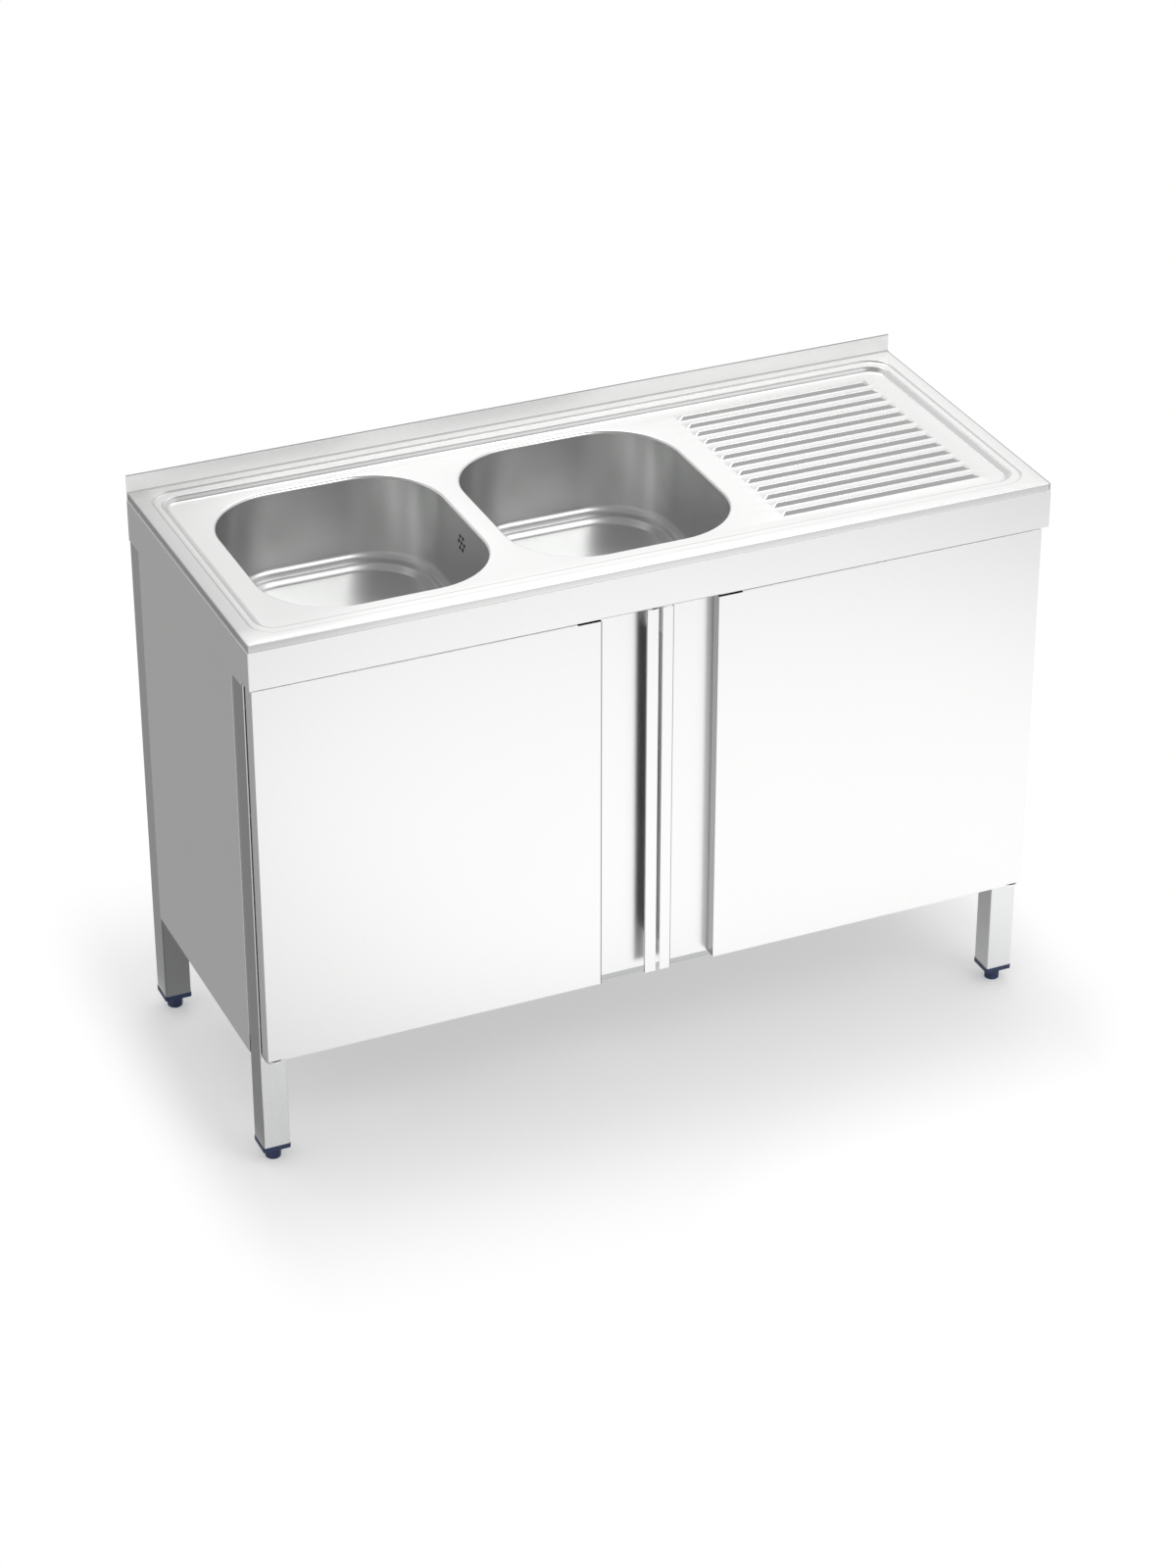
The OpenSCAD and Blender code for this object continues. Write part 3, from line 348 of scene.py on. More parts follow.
# %% [markdown]
# ## The flat deck
# What is left of the deck is flat, with two mouths and the ribbed field cut out of it. Four closed
# loops bound it, and a constrained triangulation fills what lies between them. It fills the holes as
# well, so we keep only the triangles whose middle lies on the deck.

# %% Triangles between the loops
flat, edges = [], []
for ring in loops:
    first = len(flat)
    flat += [(x, y) for x, y, z in ring]
    edges += [(first + i, first + (i + 1) % len(ring)) for i in range(len(ring))]
found, _, triangles, *_ = delaunay_2d_cdt([Vector(p) for p in flat], edges, [], 0, 1e-4)


def inside(x, y, a, b, r):
    """True inside a rounded rectangle of half sizes a and b round the origin."""
    dx, dy = abs(x) - (a - r), abs(y) - (b - r)
    return math.hypot(max(dx, 0), max(dy, 0)) < r if dx > 0 and dy > 0 else dx < r and dy < r


def on_deck(x, y):
    """True where the flat deck is: outside both mouths and the ribbed field, inside its own edge."""
    ribbed = RIB_X0 < x < RIB_X1 and abs(y) < (RIB_COUNT - 1) / 2 * RIB_PITCH + RIB_HALF
    mouths = any(inside(x - cx, y, MOUTH_X + LIP_R, MOUTH_Y + LIP_R, MOUTH_R + LIP_R) for cx in BOWL_X)
    return inside(x, y, *resized(DECK_START, -GUARD)) and not mouths and not ribbed


first = len(vertices)
vertices += [(p.x, p.y, DECK_Z) for p in found]
for corners in triangles:
    x, y = (sum(found[i][axis] for i in corners) / len(corners) for axis in (0, 1))
    if on_deck(x, y):
        faces.append(tuple(first + i for i in corners))
print("deck triangles:", len(triangles), "found")

# %% The worktop's object
worktop = soften(mesh_object("worktop_sheet", vertices, faces, marks=marks), PRESSED_ANGLE)
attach(worktop, "unit")
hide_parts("worktop")
print("worktop:", len(worktop.data.vertices), "points,", len(worktop.data.polygons), "faces")

# %% [markdown]
# ## The upstand
# Water must not run down the wall, so the sheet turns up at the back through a small radius and its
# top is folded over into a round hem. It is one profile drawn along the whole length, because
# nothing about it changes from end to end.

# %% Building the upstand
UPSTAND_TOP, HEM_R = 876.0, 1.5
LIFT, ROOT = 0.02, 2.0


def extruded(name, profile, x0, x1):
    """A closed profile of (y, z) points drawn along X from x0 to x1, with capped ends."""
    n = len(profile)
    points = [(x, y, z) for x in (x0, x1) for y, z in profile]
    shell = loft([points[:n], points[n:]])
    shell += [tuple(range(n - 1, -1, -1)), tuple(range(n, 2 * n))]
    return mesh_object(name, points, shell)


root_y = HALF_Y - 2 * HEM_R - EDGE_R
profile = [(HALF_Y, RIM_Z - EDGE_R), (root_y - ROOT, RIM_Z - EDGE_R), (root_y - ROOT, RIM_Z + LIFT)]
for i in range(7):
    t = math.radians(15 * i)
    profile.append((root_y + EDGE_R * math.sin(t), RIM_Z + LIFT + EDGE_R - EDGE_R * math.cos(t)))
for i in range(9):
    t = math.radians(22.5 * i)
    profile.append((HALF_Y - HEM_R - HEM_R * math.cos(t), UPSTAND_TOP - HEM_R + HEM_R * math.sin(t)))
upstand = soften(extruded("upstand_fold", profile, -HALF_X, HALF_X), PRESSED_ANGLE)
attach(upstand, "unit")
print("upstand profile has", len(profile), "points")

# %% [markdown]
# ## The wall of a bowl
# Each bowl is drawn deep from one sheet. Its wall leans in a little so that the die lets go, then
# come a foot radius, a narrow ledge and a rounded drop. We write that path once, as distances in
# from the mouth and heights, and each point of it becomes one contour.

# %% The path down the wall
LEAN, FOOT_R, LEDGE_W, FOOT_Z, DROP, ROUNDING = 4.8, 12.0, 5.0, 728.0, 9.0, 1.5


def bowl_path():
    """(inset, height) of the wet side, from the mouth to the edge of the floor."""
    mouth_z = DECK_Z - LIP_R
    path = [(LEAN * i / 6, mouth_z - (mouth_z - FOOT_Z) * i / 6) for i in range(7)]
    for i in range(1, 10):
        t = math.radians(10 * i)
        path.append((LEAN + FOOT_R * (1 - math.cos(t)), FOOT_Z - FOOT_R * math.sin(t)))
    inner, ledge_z = LEAN + FOOT_R + LEDGE_W, FOOT_Z - FOOT_R
    for i in range(1, 15):
        t = i / 14
        path.append((inner - ROUNDING + (DROP + 2 * ROUNDING) * t, ledge_z - DROP * ease(t)))
    return path


print("bowl wall:", len(bowl_path()), "contours, floor edge at", round(bowl_path()[-1][1], 1), "mm")

# %% [markdown]
# ## The floor of a bowl
# The floor falls to the waste, steeper near its edge than in the middle, and the waste sits in a
# round seat. So over the floor each contour moves from the rounded rectangle towards a circle.
# Spokes of quads join the two shapes without a visible seam, which a flat cap could not do.

# %% From a rounded rectangle to a circle
FLOOR_FALL, FALL_CURVE, FLOOR_STEPS = 8.0, 1.6, 12
SEAT_DROP, SEAT_R, SEAT_EDGE, WASTE_R = 3.0, 57.0, 2.0, 45.0
SEAT_RINGS = ((SEAT_R + 1.2, 0.5), (SEAT_R + 0.4, SEAT_DROP - 0.4), (SEAT_R - 0.6, SEAT_DROP),
              (WASTE_R, SEAT_DROP))


def towards_circle(base, radius, t, z, cx):
    """A contour round cx whose points have gone the share t of their way to a circle."""
    scales = [(1 - t) + t * radius / math.hypot(x, y) for x, y, _ in base]
    return [(cx + x * s, y * s, z) for (x, y, _), s in zip(base, scales)]


def bowl_rings(cx):
    """All contours of one bowl, from its mouth to the hole of the waste."""
    path = bowl_path()
    rings = [contour(MOUTH_X - u, MOUTH_Y - u, MOUTH_R - u, z, cx=cx) for u, z in path]
    inset, edge_z = path[-1]
    base = contour(MOUTH_X - inset, MOUTH_Y - inset, MOUTH_R - inset, 0)
    for i in range(1, FLOOR_STEPS + 1):
        t = i / FLOOR_STEPS
        fall = FLOOR_FALL * (1 - (1 - t) ** FALL_CURVE)
        rings.append(towards_circle(base, SEAT_R + SEAT_EDGE, t, edge_z - fall, cx))
    rings += [towards_circle(base, r, 1, edge_z - FLOOR_FALL - down, cx) for r, down in SEAT_RINGS]
    return rings


print("a bowl has", len(bowl_rings(BOWL_X[0])), "contours")

# %% [markdown]
# ## The overflow
# Seven small holes in one end wall let the water out before it reaches the rim. They are punched
# through the sheet, so we cut them with seven rods and a boolean, which leaves real edges.

# %% Rods that cut the overflow
OVERFLOW_Z, HOLE_R, HOLE_RING, ROD_SIDES = 802, 3.2, 10, 24
ROD_SPAN = (155, 175)


def overflow_cutters(cx, side):
    """Seven short rods that cut the overflow holes through one end wall: side 1 is right, -1 left."""
    places = [(0, 0)] + [(HOLE_RING * math.cos(math.radians(60 * k)),
                          HOLE_RING * math.sin(math.radians(60 * k))) for k in range(6)]
    turns = [2 * math.pi * i / ROD_SIDES for i in range(ROD_SIDES)]
    points, rods = [], []
    for y, z in places:
        first = len(points)
        for x in (cx + side * reach for reach in ROD_SPAN):
            points += [(x, y + HOLE_R * math.cos(t), OVERFLOW_Z + z + HOLE_R * math.sin(t))
                       for t in turns]
        rods += loft([turns, turns], first)
        rods += [tuple(range(first + ROD_SIDES - 1, first - 1, -1)),
                 tuple(range(first + ROD_SIDES, first + 2 * ROD_SIDES))]
    return mesh_object("overflow_cutter", points, rods)


print("overflow: seven holes of", 2 * HOLE_R, "mm at", OVERFLOW_Z, "mm")

# %% [markdown]
# ## The two bowls
# The contours give the wet side only. The solidify modifier adds the sheet's thickness behind it,
# and the boolean punches the holes. Both are applied at once, so that the mesh is final.

# %% Building the bowls
SHEET = 0.001


def apply_modifiers(obj):
    """Bakes an object's modifiers into its mesh."""
    graph = bpy.context.evaluated_depsgraph_get()
    done = bpy.data.meshes.new_from_object(obj.evaluated_get(graph))
    obj.modifiers.clear()
    obj.data = done
    return obj


bowls = {}
for side, bowl_x, holed_side in (("left", BOWL_X[0], 1), ("right", BOWL_X[1], -1)):
    rings = bowl_rings(bowl_x)
    shell = mesh_object(f"bowl_shell_{side}", [p for ring in rings for p in ring], loft(rings))
    thick = shell.modifiers.new("wall", "SOLIDIFY")
    thick.thickness, thick.offset = SHEET, -1
    # the thickness grows against the normals, so the faces have to look into the bowl first
    wall = shell.data.polygons[0]
    if wall.normal.x * (wall.center.x - bowl_x * MILLIMETRE) > 0:
        shell.data.flip_normals()
    cutter = overflow_cutters(bowl_x, holed_side)
    holes = shell.modifiers.new("overflow", "BOOLEAN")
    holes.operation, holes.solver, holes.object = "DIFFERENCE", "EXACT", cutter
    bpy.context.view_layer.update()
    apply_modifiers(shell)
    bpy.data.objects.remove(cutter)
    soften(shell, FOLDED_ANGLE)
    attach(shell, "unit")
    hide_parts(f"bowl_{side}")
    bowls[side] = shell
    print(shell.name, len(shell.data.polygons), "faces")

# %% [markdown]
# ## Softening the folded sheet parts
# Sheet can't be folded to a knife edge. A narrow bevel on each sharp edge of a CAD part catches a
# thin highlight there, as on the real folds. The points that the file format doubled are merged
# first, because a bevel needs joined faces. Weighted normals then take their direction from the
# large faces, so the flats still mirror like flats and only the bevels bend the light.

# %% Rounding the edges of the CAD parts
# widths in millimetres
EDGE_WIDTHS = {
    "door_skin_left": 0.35, "door_skin_right": 0.35, "front_apron": 0.3, "side_panel_left": 0.4,
    "side_panel_right": 0.4, "back_panel": 0.4, "bottom_shelf": 0.4, "leg_inserts": 0.5,
    "foot_front_left": 0.5, "foot_front_right": 0.5, "foot_rear_left": 0.5, "foot_rear_right": 0.5,
    "pivot_brackets": 0.4, "lower_rails": 1.2, "top_rails": 1.2, "magnet_catches": 0.5,
    "waste_nuts": 0.6, "overflow_housing": 1.2, "drainer_stiffener": 0.4,
}
WELD_GAP, BEVEL_ANGLE, AREA_WEIGHT = 1e-5, math.radians(40), 100
for name, obj in nodes.items():
    if obj.hide_render:
        continue
    weld = obj.modifiers.new("weld", "WELD")
    weld.merge_threshold = WELD_GAP
    if name in EDGE_WIDTHS:
        bevel = obj.modifiers.new("fold", "BEVEL")
        bevel.width, bevel.segments = EDGE_WIDTHS[name] * MILLIMETRE, 2
        bevel.limit_method, bevel.angle_limit = "ANGLE", BEVEL_ANGLE
        bevel.harden_normals = True
    soften(obj, FOLDED_ANGLE)
    even = obj.modifiers.new("flat_faces", "WEIGHTED_NORMAL")
    even.weight, even.keep_sharp = AREA_WEIGHT, True
print("edges rounded on", len(EDGE_WIDTHS), "parts")

# %% [markdown]
# ## Node groups
# An effect that several materials share is built once, as a node group, and each material places
# it with its own values. Two helpers keep that short: one makes a group with named sockets, and
# the other adds a node and sets it up in one line.

# %% Helpers for nodes
def node_group(name, inputs, outputs):
    """A shader node group with named sockets, and its input and output nodes."""
    group = bpy.data.node_groups.new(name, "ShaderNodeTree")
    for label, kind, value in inputs:
        socket = group.interface.new_socket(label, in_out="INPUT", socket_type=kind)
        socket.default_value = value
    for label, kind in outputs:
        group.interface.new_socket(label, in_out="OUTPUT", socket_type=kind)
    return group, group.nodes.new("NodeGroupInput"), group.nodes.new("NodeGroupOutput")


def add(tree, kind, **values):
    """A new node with some of its properties and inputs set by name."""
    node = tree.nodes.new(kind)
    for key, value in values.items():
        if hasattr(node, key):
            setattr(node, key, value)
        else:
            node.inputs[key.replace("_", " ")].default_value = value
    return node


def placed(tree, group):
    """A node in the tree that holds the group."""
    node = add(tree, "ShaderNodeGroup")
    node.node_tree = group
    return node


print("helpers for node groups are ready")

# %% [markdown]
# ## The brushed grain
# Brushed steel is a mirror full of fine parallel scratches. They lengthen reflections across their
# own direction, and they vary a little in depth. A photograph of steel would repeat and would fix
# the direction, so the grain is noise that is stretched along the scratches. Its value drives
# roughness and a very small bump in each metal.

# %% The brushed grain as a node group
def brushed_grain():
    """Streaks along the direction in which Stretch is small, in cycles per metre. Wear is the
    streaks and slow clouds together."""
    group, given, out = node_group(
        "brushed_grain",
        [("Stretch", "NodeSocketVector", (6, 1500, 1500)), ("Cloud Scale", "NodeSocketFloat", 5.0)],
        [("Streaks", "NodeSocketFloat"), ("Wear", "NodeSocketFloat")])
    place = add(group, "ShaderNodeTexCoord")
    scaled = add(group, "ShaderNodeVectorMath", operation="MULTIPLY")
    fine = add(group, "ShaderNodeTexNoise", Scale=1.0, Detail=4.0, Roughness=0.7)
    cloud = add(group, "ShaderNodeTexNoise", Detail=3.0, Roughness=0.5)
    mixed = add(group, "ShaderNodeMath", operation="ADD")
    halved = add(group, "ShaderNodeMath", operation="MULTIPLY")
    halved.inputs[1].default_value = 0.5
    link = group.links.new
    link(place.outputs["Object"], scaled.inputs[0])
    link(given.outputs["Stretch"], scaled.inputs[1])
    link(scaled.outputs[0], fine.inputs["Vector"])
    link(place.outputs["Object"], cloud.inputs["Vector"])
    link(given.outputs["Cloud Scale"], cloud.inputs["Scale"])
    link(fine.outputs["Fac"], out.inputs["Streaks"])
    link(fine.outputs["Fac"], mixed.inputs[0])
    link(cloud.outputs["Fac"], mixed.inputs[1])
    link(mixed.outputs[0], halved.inputs[0])
    link(halved.outputs[0], out.inputs["Wear"])
    return group


GRAIN = brushed_grain()
ALONG_X, ALONG_Z, CROSSED, MILLED = (5, 1400, 1400), (1400, 1400, 5), (40, 40, 40), (60, 60, 60)
print("group:", GRAIN.name, [socket.name for socket in GRAIN.interface.items_tree])

# %% [markdown]
# ## Masks for single faces
# Some places of one sheet look darker than others: the back of a fold is never polished, and a cut
# edge is duller. The inside of a narrow recess mirrors only itself, so it gets painted shade, and so
# do lines along folds and the sides of tubes. Painting them would need texture maps, so two small
# node groups find such places from the object itself. One tells which way a face looks, the other
# which box a point lies in.

# %% The group for faces that look one way
def facing_mask():
    """1 where the surface looks along Direction, 0 where it looks more than about 60 degrees away."""
    group, given, out = node_group("facing_mask", [("Direction", "NodeSocketVector", (0, -1, 0))],
                                   [("Mask", "NodeSocketFloat")])
    place = add(group, "ShaderNodeTexCoord")
    dot = add(group, "ShaderNodeVectorMath", operation="DOT_PRODUCT")
    ramp = add(group, "ShaderNodeMapRange", interpolation_type="SMOOTHSTEP", From_Min=0.5, From_Max=0.8)
    group.links.new(place.outputs["Normal"], dot.inputs[0])
    group.links.new(given.outputs["Direction"], dot.inputs[1])
    group.links.new(dot.outputs["Value"], ramp.inputs["Value"])
    group.links.new(ramp.outputs["Result"], out.inputs["Mask"])
    return group


FACING = facing_mask()


def facing(tree, direction):
    """A mask of the faces that look along the direction."""
    node = placed(tree, FACING)
    node.inputs["Direction"].default_value = direction
    return node.outputs["Mask"]


print("group:", FACING.name)

# %% The group for points in a box
def box_mask():
    """1 inside the box from Low to High, in metres."""
    group, given, out = node_group(
        "box_mask", [("Low", "NodeSocketVector", (0, 0, 0)), ("High", "NodeSocketVector", (1, 1, 1))],
        [("Mask", "NodeSocketFloat")])
    place = add(group, "ShaderNodeTexCoord")
    above = add(group, "ShaderNodeVectorMath", operation="SUBTRACT")
    below = add(group, "ShaderNodeVectorMath", operation="SUBTRACT")
    least = add(group, "ShaderNodeVectorMath", operation="MINIMUM")
    axes = add(group, "ShaderNodeSeparateXYZ")
    least_xy = add(group, "ShaderNodeMath", operation="MINIMUM")
    least_xyz = add(group, "ShaderNodeMath", operation="MINIMUM")
    within = add(group, "ShaderNodeMath", operation="GREATER_THAN")
    within.inputs[1].default_value = 0.0
    link = group.links.new
    link(place.outputs["Object"], above.inputs[0])
    link(given.outputs["Low"], above.inputs[1])
    link(given.outputs["High"], below.inputs[0])
    link(place.outputs["Object"], below.inputs[1])
    link(above.outputs[0], least.inputs[0])
    link(below.outputs[0], least.inputs[1])
    link(least.outputs[0], axes.inputs[0])
    link(axes.outputs["X"], least_xy.inputs[0])
    link(axes.outputs["Y"], least_xy.inputs[1])
    link(least_xy.outputs[0], least_xyz.inputs[0])
    link(axes.outputs["Z"], least_xyz.inputs[1])
    link(least_xyz.outputs[0], within.inputs[0])
    link(within.outputs[0], out.inputs["Mask"])
    return group


IN_BOX = box_mask()


def in_box(tree, low, high):
    """A mask of the points between two corners."""
    node = placed(tree, IN_BOX)
    node.inputs["Low"].default_value, node.inputs["High"].default_value = low, high
    return node.outputs["Mask"]


print("group:", IN_BOX.name)

# %% [markdown]
# ## Painted shade where a mask says so
# A mask is a number from 0 to 1. Scaling the colour by a factor where the mask is 1 paints shade on a
# place and leaves the rest alone, and several such steps can follow one another. Each use of it in
# this script paints shade, and on the ribs' slopes a dim reflection. Masks join by a product where
# both must hold, and by the larger one where either may.

# %% The group for painted shade
def painted_shade_where():
    """The colour, times Factor where Mask is 1."""
    group, given, out = node_group(
        "painted_shade_where", [("Color", "NodeSocketColor", (1, 1, 1, 1)), ("Mask", "NodeSocketFloat", 0.0),
                           ("Factor", "NodeSocketFloat", 0.5)], [("Color", "NodeSocketColor")])
    amount = add(group, "ShaderNodeMapRange", To_Min=1.0)
    darker = add(group, "ShaderNodeVectorMath", operation="SCALE")
    link = group.links.new
    link(given.outputs["Mask"], amount.inputs["Value"])
    link(given.outputs["Factor"], amount.inputs["To Max"])
    link(given.outputs["Color"], darker.inputs[0])
    link(amount.outputs["Result"], darker.inputs["Scale"])
    link(darker.outputs[0], out.inputs["Color"])
    return group


PAINTED_SHADE = painted_shade_where()


def masked(tree, colour, mask, factor):
    """The colour, darkened to a factor of itself where the mask is 1, as painted shade."""
    node = placed(tree, PAINTED_SHADE)
    node.inputs["Factor"].default_value = factor
    tree.links.new(colour, node.inputs["Color"])
    tree.links.new(mask, node.inputs["Mask"])
    return node.outputs["Color"]


print("group:", PAINTED_SHADE.name)

# %% Ways to join and ramp masks
def combined(tree, operation, first, second):
    """Two values joined by a math node."""
    node = add(tree, "ShaderNodeMath", operation=operation)
    tree.links.new(first, node.inputs[0])
    tree.links.new(second, node.inputs[1])
    return node.outputs[0]


def both(tree, first, second):
    """A mask that is 1 where both masks are."""
    return combined(tree, "MULTIPLY", first, second)


def either(tree, first, second):
    """A mask that is 1 where one mask is, or both."""
    return combined(tree, "MAXIMUM", first, second)


def without(tree, first, second):
    """The first mask, cut away where the second is 1."""
    outside = add(tree, "ShaderNodeMath", operation="SUBTRACT")
    outside.inputs[0].default_value = 1.0
    tree.links.new(second, outside.inputs[1])
    return both(tree, first, outside.outputs[0])


def smooth_range(tree, source, start, end, low=0.0, high=1.0):
    """A soft ramp of a value: low before start, high after end."""
    ramp = add(tree, "ShaderNodeMapRange", interpolation_type="SMOOTHSTEP",
               From_Min=start, From_Max=end, To_Min=low, To_Max=high)
    tree.links.new(source, ramp.inputs["Value"])
    return ramp.outputs["Result"]


print("masks can be joined and ramped")

# %% [markdown]
# ## Brushed steel as a material
# Each steel piece is a metal with its own tint, roughness and direction of brushing. The grain's
# value moves roughness and colour a little and drives a very shallow bump. Folds that were left
# scoured are too rough to mirror anything, and a lower Metallic value shows them as plain grey.

# %% The brushed steel
def metal(name, tint, rough, stretch, streak=0.06, bump=0.02, shade=0.03, extra=None,
          metallic=1.0, scoured=None):
    """Brushed steel. The extra function takes the node tree and the colour, and returns the colour
    with the painted shade of one piece. The scoured function returns a mask of faces that mirror
    nothing."""
    material = bpy.data.materials.new(name)
    material.use_nodes = True
    tree = material.node_tree
    shader = tree.nodes["Principled BSDF"]
    shader.inputs["Metallic"].default_value = metallic
    grain = placed(tree, GRAIN)
    grain.inputs["Stretch"].default_value = stretch
    roughness = add(tree, "ShaderNodeMapRange", To_Min=rough - streak, To_Max=rough + streak)
    colour = add(tree, "ShaderNodeMix", data_type="RGBA")
    colour.inputs["A"].default_value = (*[c * (1 - shade) for c in tint], 1)
    colour.inputs["B"].default_value = (*[min(1, c * (1 + shade)) for c in tint], 1)
    bumped = add(tree, "ShaderNodeBump", Strength=bump, Distance=0.001)
    link = tree.links.new
    link(grain.outputs["Wear"], roughness.inputs["Value"])
    link(roughness.outputs["Result"], shader.inputs["Roughness"])
    link(grain.outputs["Wear"], colour.inputs["Factor"])
    shown = colour.outputs["Result"]
    link(extra(tree, shown) if extra else shown, shader.inputs["Base Color"])
    if scoured:
        polished = add(tree, "ShaderNodeMapRange", To_Min=metallic, To_Max=0.0)
        link(scoured(tree), polished.inputs["Value"])
        link(polished.outputs["Result"], shader.inputs["Metallic"])
    link(grain.outputs["Streaks"], bumped.inputs["Height"])
    link(bumped.outputs["Normal"], shader.inputs["Normal"])
    return material


print("streaks follow the grain vectors", ALONG_X, ALONG_Z, CROSSED, MILLED)

# %% [markdown]
# ## The marks on the worktop
# The hairlines stored on the creases become thin grey lines of painted shade. The rolled edge at the
# right end gets a darker line of painted shade, and the front slopes of the ribs get a painted
# reflection of the dim side of the room. The sheet is painted greyer towards its left end, a painted
# shade. All of it is one steel, so each mark only scales its colour.

# %% Lines and shades of the worktop
# colour factors of painted shade: hairlines, right end, left strip, left end; the rib slopes get a
# painted dim reflection
HAIRLINE_SHADE, RIGHT_END_SHADE, RIB_SLOPE_SHADE, LEFT_STRIP_SHADE, LEFT_END_SHADE = 0.56, 0.50, 0.67, 0.82, 0.84
END_BOX = ((0.5973, -0.26, 0.840), (0.6010, 0.26, 0.860))
DRAINER_BOX = ((0.21, -0.185, 0.8415), (0.53, 0.185, 0.847))
SLOPE_NORMAL = (0, -0.9, 0.44)
STRIP_X, LEFT_X, RIM_Y = (-0.560, -0.585), (-0.36, -0.56), (-0.235, -0.195)


def worktop_shade(tree, colour):
    """The worktop's colour with painted shade: its hairlines, the darker right end, the rib slopes and
    the greyer left.
    """
    line = add(tree, "ShaderNodeAttribute", attribute_name="crease_line")
    place = add(tree, "ShaderNodeTexCoord")
    axes = add(tree, "ShaderNodeSeparateXYZ")
    tree.links.new(place.outputs["Object"], axes.inputs[0])
    strip = smooth_range(tree, axes.outputs["X"], *STRIP_X)
    end = smooth_range(tree, axes.outputs["X"], *LEFT_X)
    behind_rim = smooth_range(tree, axes.outputs["Y"], *RIM_Y)
    slopes = both(tree, in_box(tree, *DRAINER_BOX), facing(tree, SLOPE_NORMAL))
    shown = masked(tree, colour, line.outputs["Fac"], HAIRLINE_SHADE)
    shown = masked(tree, shown, in_box(tree, *END_BOX), RIGHT_END_SHADE)
    shown = masked(tree, shown, slopes, RIB_SLOPE_SHADE)
    shown = masked(tree, shown, both(tree, strip, behind_rim), LEFT_STRIP_SHADE)
    return masked(tree, shown, end, LEFT_END_SHADE)


worktop_steel = metal("worktop_steel", (0.89, 0.89, 0.885), 0.26, ALONG_X, extra=worktop_shade)
print("worktop:", len(worktop_steel.node_tree.nodes), "nodes")

# %% [markdown]
# ## The marks on the doors
# Fingers pull the doors open at two recesses in the middle. A recess is narrow and deep, so its
# walls mirror mostly each other; here they get painted shade and look grey, while its front lips stay
# bright. The gap between the lips gets painted shade, darkest at its top, and thin lines of painted
# shade follow the folds where the skin turns into the recess and a strip at its right corner. Boxes
# across both doors catch all of these, and a mask for the front keeps the flat face out of them.

# %% Places on the doors, in metres
RECESS_Y, DOOR_FOOT_Z, DOOR_TOP_Z = (-0.2497, -0.2255), 0.19, 0.78
# colour factors of painted shade in the recesses, the gap between the lips, its top and the corner
RECESS_SHADE, LIP_GAP_SHADE, GAP_TOP_SHADOW, CORNER_SHADE = 0.42, 0.75, 0.05, 0.45
GAP_X, RECESS_X = (-0.0075, -0.0005), (-0.0945, 0.0865)
GAP_TOP_X, GAP_TOP_FOOT, GAP_EDGE_X = (-0.0085, 0.0005), 0.742, (-0.0015, 0.0005)
CORNER_X, CORNER_Y = (0.0830, 0.0865), (-0.2335, -0.2285)
# the folds get thin lines of painted shade
FOLD_Y, FOLD_SHADES = (-0.2502, -0.2485), ((-0.0938, -0.0912, 0.34), (0.0147, 0.0167, 0.42))
TOP_FOLD_BOX = ((-0.6, -0.26, 0.777), (0.6, -0.22, 0.785))
LEFT, FRONT, UP, DOWN = (-1, 0, 0), (0, -1, 0), (0, 0, 1), (0, 0, -1)


def door_strip(tree, x0, x1, y=RECESS_Y, foot=DOOR_FOOT_Z):
    """A mask of an upright strip of the doors, from x0 to x1 and from its foot to the doors' top."""
    return in_box(tree, (x0, y[0], foot), (x1, y[1], DOOR_TOP_Z))


print("recesses: x from", RECESS_X[0], "to", RECESS_X[1], "m")

# %% Painted shade in the recesses and folds of the doors
def door_recess_shade(tree, colour):
    """The doors' colour with painted shade: grey recess walls, a dark gap with a darker top and lines
    along the folds.
    """
    front = facing(tree, FRONT)
    between_lips = door_strip(tree, *GAP_X)
    recess = without(tree, door_strip(tree, *RECESS_X), between_lips)
    gap_top = door_strip(tree, *GAP_TOP_X, foot=GAP_TOP_FOOT)
    corner = door_strip(tree, *CORNER_X, y=CORNER_Y)
    shown = colour
    for place, factor in ((recess, RECESS_SHADE), (between_lips, LIP_GAP_SHADE), (gap_top, GAP_TOP_SHADOW),
                          (corner, CORNER_SHADE)):
        shown = masked(tree, shown, without(tree, place, front), factor)
    for x0, x1, factor in FOLD_SHADES:
        shown = masked(tree, shown, door_strip(tree, x0, x1, y=FOLD_Y), factor)
    return shown


def top_fold(tree):
    """The scoured faces of the doors: the fold along the top and the edge beside the gap."""
    fold = both(tree, facing(tree, UP), in_box(tree, *TOP_FOLD_BOX))
    edge = both(tree, facing(tree, LEFT), door_strip(tree, *GAP_EDGE_X))
    return either(tree, fold, edge)


door_steel = metal("door_steel", (0.98, 0.98, 0.975), 0.28, ALONG_Z, streak=0.03, bump=0.005,
                   extra=door_recess_shade, scoured=top_fold)
print("doors:", len(door_steel.node_tree.nodes), "nodes")

# %% [markdown]
# ## The apron and the upstand
# The apron closes the front under the worktop. Above the recesses its lower fold gets a line of
# painted shade, and the underside of that fold was never polished. The upstand gets a thin line of
# painted shade along its hem and another along its root. As a full mirror it would turn as dark as
# the ceiling in some views, so it is only partly a metal here, and that keeps it pale from every side.

